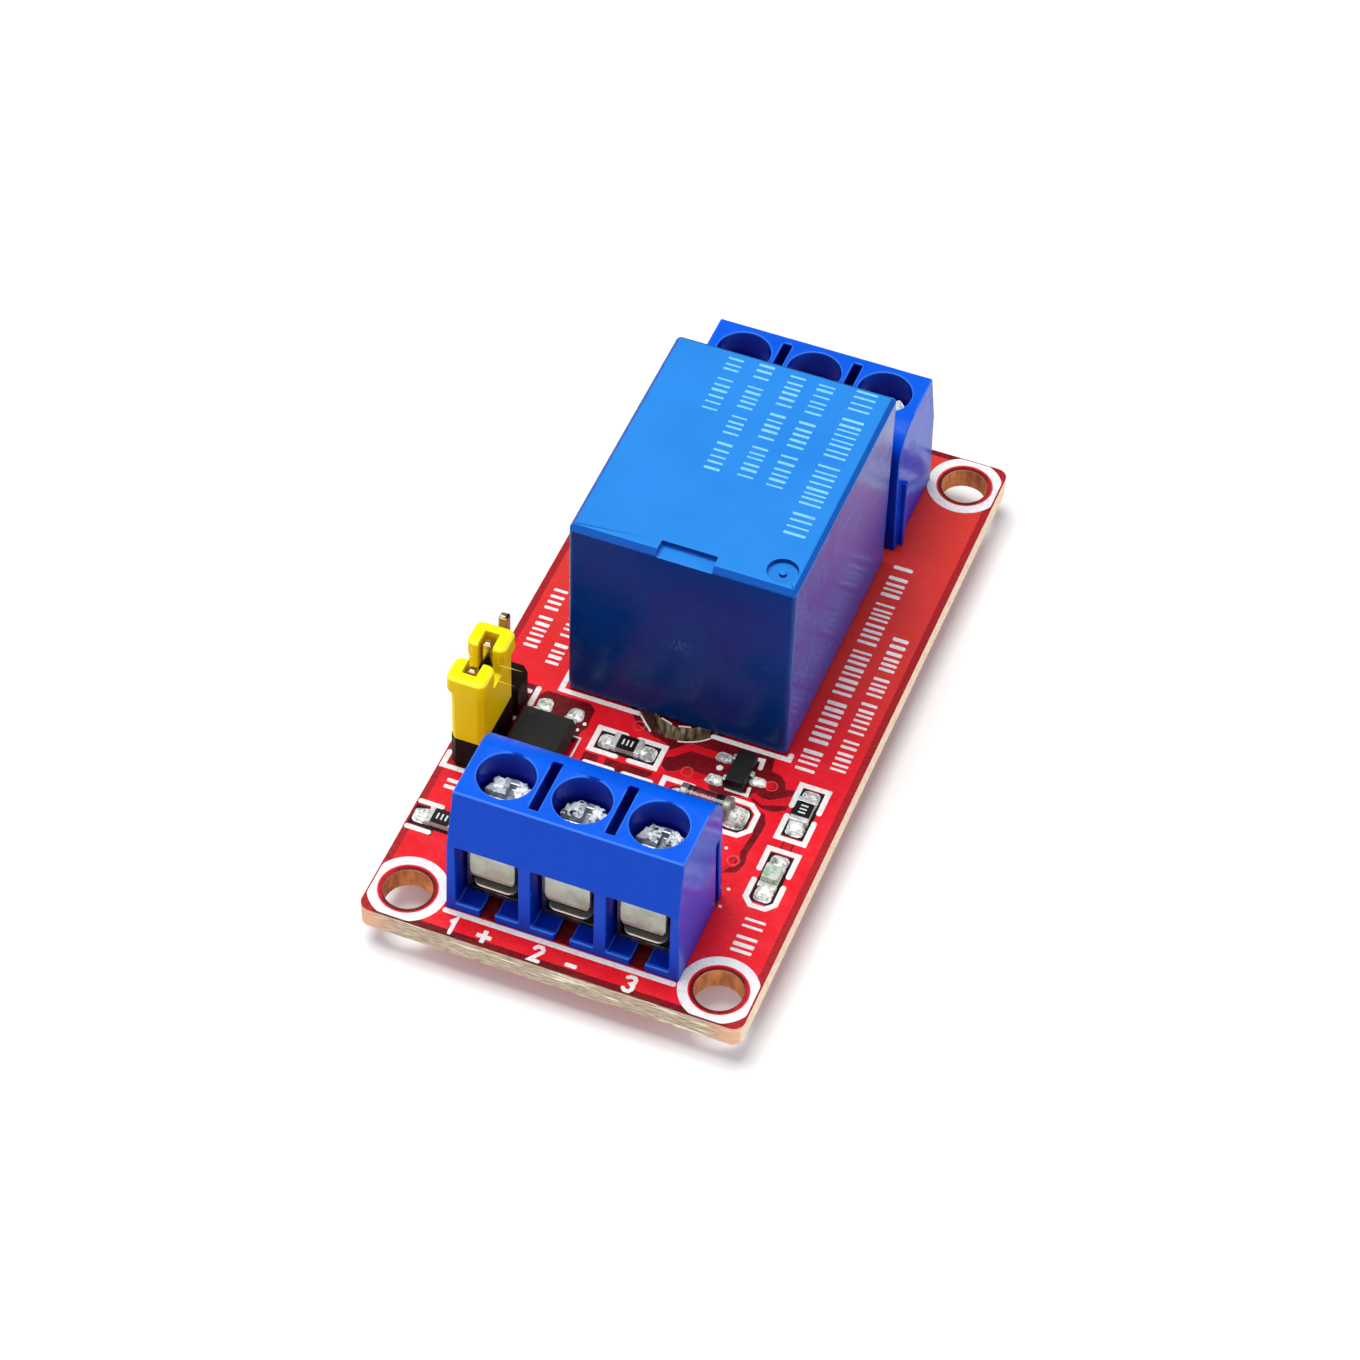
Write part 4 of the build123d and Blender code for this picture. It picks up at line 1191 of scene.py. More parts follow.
    def _tracks(self) -> list[tuple[list[Point], float]]:
        """Tracks that cross the channels, each with its width.

        Returns:
            Points and width of each.
        """
        return [
            ([(0.3, -7.0), (0.81, -6.75), (1.69, -5.81), (3.9, -5.85)], 0.62),
            ([(0.1, -9.6), (0.5, -9.3), (1.31, -8.55), (2.25, -7.95), (4.0, -8.0)], 0.6),
            ([(7.0, -8.1), (7.78, -8.45), (8.4, -8.2), (9.5, -7.3)], 0.42),
            ([(6.6, -6.9), (7.77, -6.94)], 0.5),
            ([(7.3, -14.68), (7.68, -13.68)], 0.3),
            ([(10.47, -10.7), (10.47, -11.9)], 0.55),
            ([(-3.3, -8.6), (-3.3, -9.9)], 0.5),
        ]


@dataclass
class SilkPrint:
    """White print on the board: outlines, rings, plain strokes, numbers and signs."""

    level: Level
    line: float = 0.37
    stroke: float = 0.24
    stroke_gap: float = 0.3
    sign_stroke: float = 0.27
    digit_height: float = 1.12
    digit_row: float = -25.42
    plus_place: Point = (-4.6, -25.45)
    plus_half: float = 0.5
    plus_arm: float = 0.15
    minus_place: Point = (1.32, -25.5)
    ring_inner: float = 1.97
    ring_outer: float = 2.62
    edge_gap: float = 0.12
    ink: Print = Print("print_white", srgb(246, 244, 242), srgb(232, 214, 212))

    def build(self) -> None:
        """Lay the print on the upper face and the rings on the lower one."""
        ink = self.ink.make()
        low = self.level.board_top + self.level.ink_foot
        high = self.level.board_top + self.level.ink
        rings = [self._ring(place) for place in HOLE_PLACES]
        Shop.slab("print_hole_rings", rings, low, high, ink)
        lines = [Loops.line(points, self.line) for points in self._outlines()]
        lines += [Loops.line(points, width) for points, width in self._hairlines()]
        Shop.slab("print_outlines", lines, low, high, ink)
        signs = [Loops.line(points, self.sign_stroke) for points in self._signs()]
        Shop.slab("print_signs", signs, low, high, ink)
        Shop.slab("print_bars", [[loop] for loop in self._bars()], low, high, ink)
        Shop.slab("print_dots", [[loop] for loop in self._dots()], low, high, ink)
        under = self.level.board_bottom
        Shop.slab("print_rings_under", rings, under - self.level.ink,
                  under - self.level.ink_foot, ink)

    def _ring(self, place: Point) -> list[list[Point]]:
        """One ring, cut where it meets the board's edge.

        Args:
            place: Middle of the ring.

        Returns:
            Its outer and its inner outline.
        """
        outer = Loops.circle(place, self.ring_outer, 72)
        held = Loops.kept_inside(outer, BOARD_HALF_X - self.edge_gap, BOARD_HALF_Y - self.edge_gap)
        return [held, Loops.circle(place, self.ring_inner, 60)]

    def _frame(self, low: Point, high: Point, gap: float, along_x: bool) -> list[list[Point]]:
        """A part's frame in two brackets, open in the middle of its long sides.

        Args:
            low: Lower corner.
            high: Upper corner.
            gap: Width of the opening.
            along_x: Whether the long sides run along X.

        Returns:
            The points of each bracket.
        """
        x0, y0 = low
        x1, y1 = high
        mx, my = (x0 + x1) / 2, (y0 + y1) / 2
        if along_x:
            return [[(mx - gap / 2, y0), (x0, y0), (x0, y1), (mx - gap / 2, y1)],
                    [(mx + gap / 2, y0), (x1, y0), (x1, y1), (mx + gap / 2, y1)]]
        return [[(x0, my - gap / 2), (x0, y0), (x1, y0), (x1, my - gap / 2)],
                [(x0, my + gap / 2), (x0, y1), (x1, y1), (x1, my + gap / 2)]]

    def _outlines(self) -> list[list[Point]]:
        """Open lines round the parts.

        Returns:
            The points of each line.
        """
        lines = [
            [(-7.7, -24.4), (7.78, -24.4)],
            [(-8.07, 15.0), (-8.07, -4.42), (-2.55, -4.42)],
            [(2.75, -4.42), (8.05, -4.42), (8.05, -4.0)],
            [(-4.25, -9.62), (-2.35, -9.62)],
            [(-1.55, -9.62), (0.35, -9.62)],
            [(1.1, -9.6), (1.1, -8.9), (3.05, -8.9)],
            [(5.75, -8.88), (7.15, -8.93), (7.77, -9.5), (7.79, -10.98), (7.15, -11.68),
             (5.9, -11.7)],
            [(-12.75, -16.75), (-11.25, -16.75)],
            [(-12.75, -19.0), (-11.25, -19.0)],
            [(-12.7, -12.2), (-12.7, -13.4), (-9.45, -13.4)],
            [(-9.45, -4.9), (-9.45, -6.4)],
        ]
        lines += self._frame((-4.4, -8.46), (0.2, -6.5), 0.95, True)
        lines += self._frame((9.55, -10.78), (11.43, -6.06), 0.9, False)
        lines.append([(9.45, -13.65), (9.45, -11.82), (11.45, -11.82), (11.45, -13.65)])
        lines.append([(9.45, -14.6), (9.45, -16.1), (9.95, -16.65), (10.95, -16.65), (11.45, -16.1),
                      (11.45, -14.6)])
        return lines

    def _hairlines(self) -> list[tuple[list[Point], float]]:
        """Thin lines at the slot and beside the small parts, each with its width.

        Returns:
            Points and width of each.
        """
        return [
            ([(-2.42, -4.42), (-1.86, -4.98), (-1.27, -5.55)], 0.13),
            (Loops.circle(SLOT_PLACE, 3.42, 10, 281, 37), 0.1),
            ([(-0.95, -4.22), (-0.2, -4.45)], 0.12),
            ([(0.35, -4.44), (1.05, -4.24)], 0.12),
            ([(-5.24, -9.72), (-5.24, -7.9), (-5.7, -7.9)], 0.12),
            ([(5.1, -8.28), (6.56, -8.3), (6.5, -7.68)], 0.24),
            ([(6.06, -5.14), (6.5, -5.1), (6.55, -5.8)], 0.32),
        ]

    def _signs(self) -> list[list[Point]]:
        """Strokes of the plain numbers in the label places."""
        places = (("1", -6.75), ("2", -1.0), ("3", 5.25))
        return [stroke for number, x in places for stroke in self._digit(number, x)]

    def _digit(self, number: str, x: float) -> list[list[Point]]:
        """Strokes of one digit, drawn in a 2 by 4 grid.

        Args:
            number: The digit.
            x: Middle of it.

        Returns:
            The points of each stroke.
        """
        grids = {
            "1": [[(0.3, 3.2), (1, 4), (1, 0)]],
            "2": [[(0, 3.3), (0.5, 4), (1.6, 4), (2, 3.4), (2, 2.8), (0, 0.05), (2, 0)]],
            "3": [[(0, 3.6), (0.6, 4), (1.6, 4), (2, 3.4), (2, 2.6), (1.3, 2.1), (2, 1.6), (2, 0.7),
                   (1.5, 0), (0.5, 0), (0, 0.5)]],
        }
        scale = self.digit_height / 4
        return [[(x + (u - 1) * scale, self.digit_row + (v - 2) * scale) for u, v in stroke]
                for stroke in grids[number]]

    def strokes(self, low: Point, high: Point) -> list[list[Point]]:
        """Groups of thin plain strokes down a row, in the place of its print.

        Args:
            low: Lower corner of the row.
            high: Upper corner of the row.

        Returns:
            The strokes' outlines.
        """
        rng = random.Random(round(100 * (low[0] + high[1])))
        middle, length = (low[0] + high[0]) / 2, high[0] - low[0]
        drawn, at, left = [], low[1], rng.randint(3, 6)
        while at + self.stroke < high[1]:
            thick = self.stroke * rng.choice((0.8, 1.0, 1.3))
            drawn.append(Loops.bar((middle, at + thick / 2), length, thick))
            left -= 1
            at += thick + self.stroke_gap * (rng.uniform(0.75, 1.3) if left else 2.4)
            left = left or rng.randint(4, 8)
        return drawn

    def _bars(self) -> list[list[Point]]:
        """Strokes in the places of the rows of print.

        Returns:
            The outlines.
        """
        rows = (((8.6, -4.9), (9.95, 14.9)), ((10.75, -4.1), (11.85, 9.3)),
                ((-11.95, -1.7), (-10.95, 4.4)), ((-10.0, -2.6), (-9.05, 6.4)),
                ((10.05, -20.5), (11.45, -17.3)))
        bars = [bar for low, high in rows for bar in self.strokes(low, high)]
        lone = (((-11.5, -14.45), 0.8, 0.3), ((-11.5, -15.0), 0.8, 0.3),
                (self.minus_place, 0.8, 0.3), ((-10.1, -5.35), 0.7, 0.35),
                ((-10.1, -7.9), 0.5, 0.35), ((6.9, -12.9), 0.22, 0.22),
                ((8.25, -16.0), 0.22, 0.22), ((8.25, -17.5), 0.22, 0.22))
        bars += [Loops.bar(*bar) for bar in lone]
        (x, y), arm, half = self.plus_place, self.plus_arm, self.plus_half
        bars.append([(x + u, y + v) for u, v in (
            (-half, -arm), (-arm, -arm), (-arm, -half), (arm, -half), (arm, -arm), (half, -arm),
            (half, arm), (arm, arm), (arm, half), (-arm, half), (-arm, arm), (-half, arm))])
        return bars

    def _dots(self) -> list[list[Point]]:
        """Pin-one dots and small print marks.

        Returns:
            The outlines.
        """
        spots = (((4.09, -6.76), 0.23), ((6.08, -6.42), 0.17), ((-5.74, -7.3), 0.14),
                 ((-5.47, -6.65), 0.14), ((5.53, -9.56), 0.16))
        return [Loops.circle(place, radius, 16) for place, radius in spots]


@dataclass(frozen=True)
class Dome:
    """Place, size and lumps of one solder joint, in millimetres and degrees."""

    centre: Point
    half_x: float
    half_y: float
    height: float
    seed: int
    turn: float = 0.0
    lean: float = 0.0


@dataclass
class SolderJoints:
    """Skins of the solder joints, which stand for the plain solids of the frame."""

    level: Level
    metal: SolderMetal = SolderMetal()
    # Dark colour of the gaps round the pads.
    dark_pad_gap: Plastic = Plastic("pad_gap_dark", srgb(18, 8, 8), srgb(34, 16, 14), 0.6, grain=0.2,
                            grain_depth=0.01, gloss=0.2)
    rings: int = 7
    sides: int = 28
    cone_foot: float = 1.0
    cone_tip: float = 0.42
    cone_height: float = 0.8
    coil_lead: Point = (0.02, -2.12)
    bed: Point = (4.2, 1.62)
    chip_pad: Point = (1.15, 1.2)
    pad_offset: float = 1.42
    dome_offset: float = 1.36
    dome_half: float = 0.6
    dome_height: float = 0.42
    diode_row: float = -10.35

    def build(self) -> None:
        """Make the joints on the small parts' pads and round the leads below."""
        solder = self.metal.make()
        self._pads(solder)
        self._joints(solder)
        self._cones(solder)

    def _pads(self, solder: bpy.types.Material) -> None:
        """Flat tinned pads with a dark gap round them.

        Args:
            solder: Finish of the pads.
        """
        pads, beds = [], []
        for place, turn in RESISTOR_PLACES + LED_PLACES:
            beds.append([Loops.bar(place, *self.bed, turn, 0.05)])
            for side in (-1, 1):
                spot = Loops.beside(place, turn, side * self.pad_offset)
                pads.append([Loops.bar(spot, *self.chip_pad, turn)])
        for place, along, across in self._lead_pads():
            pads.append([Loops.bar(place, along, across)])
        for x in (2.6, 6.55):
            beds.append([Loops.bar((x, self.diode_row), 1.9, 2.2)])
            pads.append([Loops.bar((x, self.diode_row), 1.6, 1.9)])
        top = self.level.board_top
        Shop.slab("pad_gaps", beds, top, top + self.level.bed, self.dark_pad_gap.make())
        Shop.slab("pads", pads, top, top + self.level.pad, solder, slot=Slot.SOLDER)

    def _lead_pads(self) -> list[tuple[Point, float, float]]:
        """Middle, length and width of each formed lead's pad.

        Returns:
            The pads.
        """
        pads = [((-7.4 + side * 1.1, -9.97 + end * 3.85), 1.0, 1.1)
                for side in (-1, 1) for end in (-1, 1)]
        return pads + [((4.08, -5.85), 1.0, 0.8), ((4.15, -7.85), 1.1, 0.85),
                       ((6.8, -6.95), 1.1, 0.75)]

    def _dome(self, dome: Dome) -> tuple[list[Vector], list[list[int]]]:
        """Lumpy low dome of solder.

        Args:
            dome: Its place and size.

        Returns:
            Points in millimetres and faces.
        """
        rng = random.Random(dome.seed)
        lumps = [rng.uniform(-1, 1) for _ in range(8)]
        base = self.level.board_top + self.level.ink_foot
        verts, faces = [], []
        rotation = Matrix.Rotation(math.radians(dome.turn), 2)

        def squared(value: float, power: float = 0.7) -> float:
            """Coordinate of a circle pulled towards a square."""
            return math.copysign(abs(value) ** power, value)

        for ring in range(self.rings):
            quarter = ring / (self.rings - 1) * math.pi / 2
            spread, rise = math.cos(quarter) ** 0.8, math.sin(quarter) ** 1.1
            for step in range(self.sides):
                angle = 2 * math.pi * step / self.sides
                wobble = 1 + 0.07 * sum(
                    a * math.cos((n + 1) * angle + 2 * a) for n, a in enumerate(lumps[:5]))
                flat = Vector((squared(math.cos(angle)) * dome.half_x,
                               squared(math.sin(angle)) * dome.half_y))
                flat *= max(spread, 0.02) * wobble
                flat.x += dome.lean * dome.half_x * rise
                spot = rotation @ flat + Vector(dome.centre)
                bulge = 1 + 0.1 * lumps[5] * math.cos(2 * angle + lumps[6] * 3) * (1 - rise)
                verts.append(Vector((*spot, base + dome.height * rise * bulge)))
        for ring in range(self.rings - 1):
            faces += self._band(ring * self.sides)
        faces.append([(self.rings - 1) * self.sides + n for n in range(self.sides)])
        faces.append(list(reversed(range(self.sides))))
        return verts, faces

    def _band(self, start: int) -> list[list[int]]:
        """Faces between the ring of points that starts at an index and the next one.

        Args:
            start: Index of the lower ring's first point.

        Returns:
            The faces.
        """
        ring = [(start + step, start + (step + 1) % self.sides) for step in range(self.sides)]
        return [[a, b, b + self.sides, a + self.sides] for a, b in ring]

    def _joints(self, solder: bpy.types.Material) -> None:
        """Domes at the ends of the chips and at the formed leads.

        Args:
            solder: Their finish.
        """
        domes = []
        for number, (place, turn) in enumerate(RESISTOR_PLACES + LED_PLACES):
            for side in (-1, 1):
                spot = Loops.beside(place, turn, side * self.dome_offset)
                domes.append(Dome(spot, self.dome_half, self.dome_half, self.dome_height,
                                  11 + 2 * number + (side > 0), turn + (0 if side > 0 else 180),
                                  -0.35))
        for n, (place, along, across) in enumerate(self._lead_pads()):
            domes.append(Dome(place, along * 0.56, across * 0.54, 0.24, 40 + n))
        for n, x in enumerate((2.45, 6.62)):
            domes.append(Dome((x, self.diode_row), 0.72, 0.85, 0.75, 60 + n, 0 if n else 180, -0.4))
        verts: list[Vector] = []
        faces: list[list[int]] = []
        for dome in domes:
            points, skins = self._dome(dome)
            faces += [[n + len(verts) for n in face] for face in skins]
            verts += points
        piece = Shop.shape("solder_on_pads", verts, faces, solder, Body.BOARD, Slot.SOLDER)
        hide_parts("pad_solder")

    def _cones(self, solder: bpy.types.Material) -> None:
        """Hollow-sided cones round the leads under the board.

        Args:
            solder: Their finish.
        """
        verts: list[Vector] = []
        faces: list[list[int]] = []
        foot = self.level.board_bottom - self.level.sunk
        places = CircuitBoard(self.level).lead_places() + [self.coil_lead]
        for number, (x, y) in enumerate(places):
            rng = random.Random(100 + number)
            lumps = [rng.uniform(-1, 1) for _ in range(4)]
            start = len(verts)
            for row in range(self.rings):
                share = row / (self.rings - 1)
                radius = self.cone_foot + (self.cone_tip - self.cone_foot) * share ** 0.55
                for step in range(self.sides):
                    angle = 2 * math.pi * step / self.sides
                    swell = radius * (1 + 0.04 * sum(
                        a * math.cos((n + 2) * angle) for n, a in enumerate(lumps)))
                    verts.append(Vector((x + swell * math.cos(angle), y + swell * math.sin(angle),
                                         foot - self.cone_height * share)))
            for row in range(self.rings - 1):
                faces += [face[::-1] for face in self._band(start + row * self.sides)]
            last = start + (self.rings - 1) * self.sides
            faces.append([last + n for n in reversed(range(self.sides))])
            faces.append([start + n for n in range(self.sides)])
        piece = Shop.shape("solder_under_board", verts, faces, solder, Body.BOARD, Slot.SOLDER)
        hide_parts("lead_solder")


class End(Enum):
    """Ends of the board, each with one terminal block."""

    FRONT = "front"
    REAR = "rear"


@dataclass
class Terminals:
    """Both three-way terminal blocks and the finishes they share."""

    # Housing: painted highlight on the slopes near the ends, painted shade on the walls, and
    # painted shade in the bores and slots, lighter on their floors.
    housing: Plastic = Plastic("terminal_blue_plastic", srgb(0, 94, 232), srgb(0, 86, 222), 0.4,
                               grain=0.1, grain_depth=0.003, edge=srgb(80, 150, 255),
                               slope_highlight_share=0.42, slope_highlight_from=18.9, walls=srgb(0, 70, 200),
                               hollow=srgb(0, 24, 156), hollow_floor=srgb(0, 46, 196),
                               side_rough=0.16, gloss=0.13)
    cage: Plated = Plated("cage_tinned", srgb(150, 146, 134), srgb(96, 90, 80), 0.34)
    # Guard bands: a thin painted highlight at the panel's lower rim, a dark painted reflection on
    # the bend, and a bright painted highlight on the lip below it.
    guard: Plated = Plated("guard_plated", srgb(190, 206, 190), srgb(166, 178, 160), 0.4, 0.06,
                           (0.3, 1, 1), 0.2, 0.003, metallic=0.8,
                           reflection_bands=((5.49, 6.36, srgb(34, 32, 16)), (6.36, 6.5, srgb(236, 238, 200)),
                                  (5.2, 5.49, srgb(255, 252, 232))))
    screw: Plated = Plated("screw_zinc", srgb(206, 216, 220), srgb(136, 142, 148), 0.28, 0.08,
                           (1, 0.4, 1), 0.16, 0.012, 0.6, 0.6)
    chipped: Plated = Plated("screw_chipped_zinc", srgb(252, 255, 255), srgb(240, 250, 248), 0.26,
                             0.1, (1, 1, 1), 0.2, 0.02, 0.7, 0.05, srgb(44, 52, 60))
    head_reach: float = 1.6
    field_side: float = 1.34
    facet_rise: float = 0.42
    facet_shift: float = 0.07
    cross_half: float = 0.26
    steps: int = 7

    def build(self) -> None:
        """Dress front and rear, and lay the chipped plating on the screw heads."""
        housing = self.housing.make()
        poles = (("cage", self.cage.make(), 0.04), ("guard", self.guard.make(), 0.06),
                 ("screw", self.screw.make(), 0.06))
        chipped = self.chipped.make()
        for end in End:
            Shop.dress(f"{end.value}_terminal_housing", housing, 0.1)
            for pole in (1, 2, 3):
                for part, finish, round_edge in poles:
                    Shop.dress(f"{end.value}_{part}_{pole}", finish, round_edge)
                self._head(end, pole, chipped)

    def _head(self, end: End, pole: int, chipped: bpy.types.Material) -> None:
        """Rough facets on the four fields of a cross-slotted head.

        Args:
            end: Which block.
            pole: Which of its poles.
            chipped: Finish.
        """
        low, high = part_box(f"{end.value}_screw_{pole}")
        x, y, top = (low.x + high.x) / 2 / MM, (low.y + high.y) / 2 / MM, high.z / MM
        rng = random.Random(7 * pole + len(end.value))
        verts: list[Vector] = []
        faces: list[list[int]] = []
        last = self.steps - 1
        for sign_x, sign_y in ((1, 1), (-1, 1), (-1, -1), (1, -1)):
            start = len(verts)
            for row in range(self.steps):
                for column in range(self.steps):
                    away = Vector((self.cross_half + row / last * self.field_side,
                                   self.cross_half + column / last * self.field_side))
                    away += Vector((rng.uniform(-self.facet_shift, self.facet_shift),
                                    rng.uniform(-self.facet_shift, self.facet_shift)))
                    if away.length > self.head_reach:
                        away *= self.head_reach / away.length
                    border = row in (0, last) or column in (0, last)
                    rise = 0.01 if border else rng.uniform(0.02, self.facet_rise)
                    verts.append(Vector((x + sign_x * away.x, y + sign_y * away.y, top + rise)))
            for row in range(last):
                for column in range(last):
                    a = start + row * self.steps + column
                    face = [a, a + self.steps, a + self.steps + 1, a + 1]
                    faces.append(face if sign_x * sign_y > 0 else face[::-1])
        Shop.shape(f"{end.value}_screw_plating_{pole}", verts, faces, chipped,
                   Body(f"{end.value}_clamp_screw_{pole}"), Slot.SCREW, smooth=False)


@dataclass
class Header:
    """Pin header and its shorting cap."""

    base: Plastic = Plastic("header_black", srgb(18, 8, 3), srgb(26, 12, 6), 0.55, gloss=0.1)
    pins: Plated = Plated("pin_gold", srgb(212, 174, 96), srgb(150, 120, 64), 0.22, 0.08,
                          (1, 1, 0.2), 0.12, 0.004)
    # Cap: painted highlight on its slopes and painted shade on its walls.
    cap: Plastic = Plastic("cap_yellow", srgb(255, 240, 4), srgb(250, 232, 0), 0.42, 0.06, 0.14,
                           0.003, srgb(255, 250, 90), 0.5, scatter=0.3, walls=srgb(255, 216, 0),
                           gloss=0.12)
    clip: Plated = Plated("clip_spring", srgb(196, 172, 112), srgb(140, 116, 70), 0.26)

    def build(self) -> None:
        """Dress the header's four nodes."""
        Shop.dress("header_base", self.base.make(), 0.05)
        Shop.dress("header_pins", self.pins.make(), 0.04)
        Shop.dress("jumper_cap", self.cap.make(), 0.06)
        Shop.dress("jumper_clip", self.clip.make(), 0.03)


@dataclass
class SmallParts:
    """Optocoupler, transistor, diode, chip resistors and LEDs."""

    # Black mould: painted highlight on its slopes.
    mould: Plastic = Plastic("package_black", srgb(16, 18, 16), srgb(26, 28, 25), 0.55, 0.08, 0.07,
                             0.004, srgb(60, 64, 60), 0.25, gloss=0.25)
    small_mould: Plastic = Plastic("package_black_small", srgb(8, 9, 9), srgb(16, 17, 17), 0.5,
                                   0.08, 0.06, 0.004, gloss=0.3)
    leads: Plated = Plated("lead_tin", srgb(226, 226, 220), srgb(160, 158, 150), 0.34, 0.1,
                           (1, 1, 1), 0.2, 0.01, 0.5, 0.5)
    ceramic: Plastic = Plastic("chip_ceramic", srgb(206, 200, 186), srgb(170, 164, 150), 0.55)
    glaze: Plastic = Plastic("chip_glaze", srgb(8, 8, 8), srgb(16, 16, 15), 0.35, 0.05, gloss=0.3)
    carrier: Plastic = Plastic("led_carrier", srgb(240, 244, 226), srgb(226, 234, 208), 0.6)
    lens: ClearCast = ClearCast("led_lens", srgb(244, 252, 240), srgb(150, 206, 152), 0.3, 0.12)
    glass: ClearCast = ClearCast("diode_glass", srgb(206, 150, 140), srgb(180, 120, 112), 0.95,
                                 0.03, (5.2, 5.55))
    caps: Plated = Plated("diode_cap", srgb(150, 146, 140), srgb(96, 92, 88), 0.4, 0.08,
                          (0.3, 1, 1), 0.2, 0.01, 0.6, 0.6)
    pale: Print = Print("print_pale", srgb(226, 226, 220), srgb(190, 190, 184))
    glaze_size: Point = (1.28, 1.18)
    mark_size: Point = (0.12, 0.5)
    mark_pitch: float = 0.3

    def build(self) -> None:
        """Dress the small parts and lay the glaze on the resistors."""
        leads = self.leads.make()
        Shop.dress("optocoupler_body", self.mould.make(), 0.07)
        Shop.dress("transistor_body", self.small_mould.make(), 0.04)
        for node in ("optocoupler_leads", "transistor_leads"):
            Shop.dress(node, leads, 0.03)
        ceramic, glaze = self.ceramic.make(), self.glaze.make()
        carrier, lens = self.carrier.make(), self.lens.make()
        for chip in ("coupler_resistor", "side_resistor", "input_resistor"):
            Shop.dress(chip + "_body", ceramic, 0.03)
            Shop.dress(chip + "_ends", leads, 0.03)
        for chip in ("power_led", "status_led"):
            Shop.dress(chip + "_base", carrier, 0.02)
            Shop.dress(chip + "_ends", leads, 0.03)
            Shop.dress(chip + "_lens", lens, 0.05)
        Shop.dress("diode_glass", self.glass.make())
        Shop.dress("diode_caps", self.caps.make(), 0.04)
        self._glaze(glaze)

    def _glaze(self, glaze: bpy.types.Material) -> None:
        """Dark glaze between the plated ends, with three plain pale strokes on it.

        Args:
            glaze: Finish of the dark part.
        """
        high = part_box("coupler_resistor_body")[1].z / MM
        panels, marks = [], []
        for place, turn in RESISTOR_PLACES:
            panels.append([Loops.bar(place, *self.glaze_size, turn, 0.08)])
            for step in (-1, 0, 1):
                spot = Loops.beside(place, turn, step * self.mark_pitch)
                marks.append([Loops.bar(spot, *self.mark_size, turn)])
        Shop.slab("resistor_glaze", panels, high - 0.02, high + 0.035, glaze, slot=Slot.CERAMIC)
        Shop.slab("resistor_marks", marks, high + 0.03, high + 0.042, self.pale.make(),
                  slot=Slot.CERAMIC)


@dataclass
class Relay:
    """Relay case with its pale print, and the works inside it."""

    case: RelayCasePlastic = RelayCasePlastic()
    works_dark: Plastic = Plastic("relay_base_dark", srgb(18, 44, 96), srgb(14, 34, 76), 0.45)
    copper: Plated = Plated("coil_copper", srgb(206, 116, 64), srgb(160, 80, 40), 0.3, 0.08,
                            (1, 1, 12), 0.3, 0.05)
    iron: Plated = Plated("works_iron", srgb(176, 176, 172), srgb(120, 118, 112), 0.38)
    contact: Plated = Plated("contact_alloy", srgb(214, 206, 190), srgb(160, 140, 110), 0.28)
    pale: Print = Print("print_pale_blue", srgb(132, 206, 255), srgb(96, 178, 250), 0.5)
    stroke: float = 0.17
    stroke_gap: float = 0.36

    def build(self) -> None:
        """Dress the relay's nodes and print the plain strokes on its top."""
        Shop.dress("relay_case", self.case.make(), 0.06)
        works = (
            (self.works_dark, 0.04, ("base", "bobbin")),
            (self.copper, 0.0, ("coil",)),
            (self.iron, 0.04, ("core", "yoke", "armature")),
            (self.contact, 0.03, ("leaf", "moving_contact", "upper_contact", "lower_contact",
                                  "common_lead", "coil_leads")),
        )
        for finish, round_edge, parts in works:
            material = finish.make()
            for part in parts:
                Shop.dress(f"relay_{part}", material, round_edge)
        self._print()

    def _print(self) -> None:
        """Rows of pale strokes along the top."""
        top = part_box("relay_case")[1].z / MM
        silk = SilkPrint(Level(), stroke=self.stroke, stroke_gap=self.stroke_gap)
        rows = (((-3.75, 9.0), (-2.67, 14.5)), ((-1.65, 3.9), (-0.57, 14.4)),
                ((0.6, 4.1), (1.7, 14.3)), ((2.6, 4.0), (3.75, 14.4)), ((5.1, 0.45), (6.6, 14.4)))
        strokes = [[bar] for low, high in rows for bar in silk.strokes(low, high)]
        Shop.slab("print_relay_rows", strokes, top - 0.01, top + 0.012, self.pale.make(),
                  slot=Slot.RELAY)


@dataclass(frozen=True)
class Lamp:
    """Soft rectangular lamp, in metres and watts."""

    name: str
    place: Place
    size: Point
    power: float
    aim: Place = (0.0, 0.0, 0.005)

    def hang(self) -> None:
        """Hang the lamp so that it points at its aim."""
        data = bpy.data.lights.new(self.name, "AREA")
        data.shape = "RECTANGLE"
        data.size, data.size_y = self.size
        data.energy = self.power
        lamp = bpy.data.objects.new(self.name, data)
        bpy.context.scene.collection.objects.link(lamp)
        lamp.location = self.place
        away = Vector(self.place) - Vector(self.aim)
        lamp.rotation_euler = away.to_track_quat("Z", "Y").to_euler()


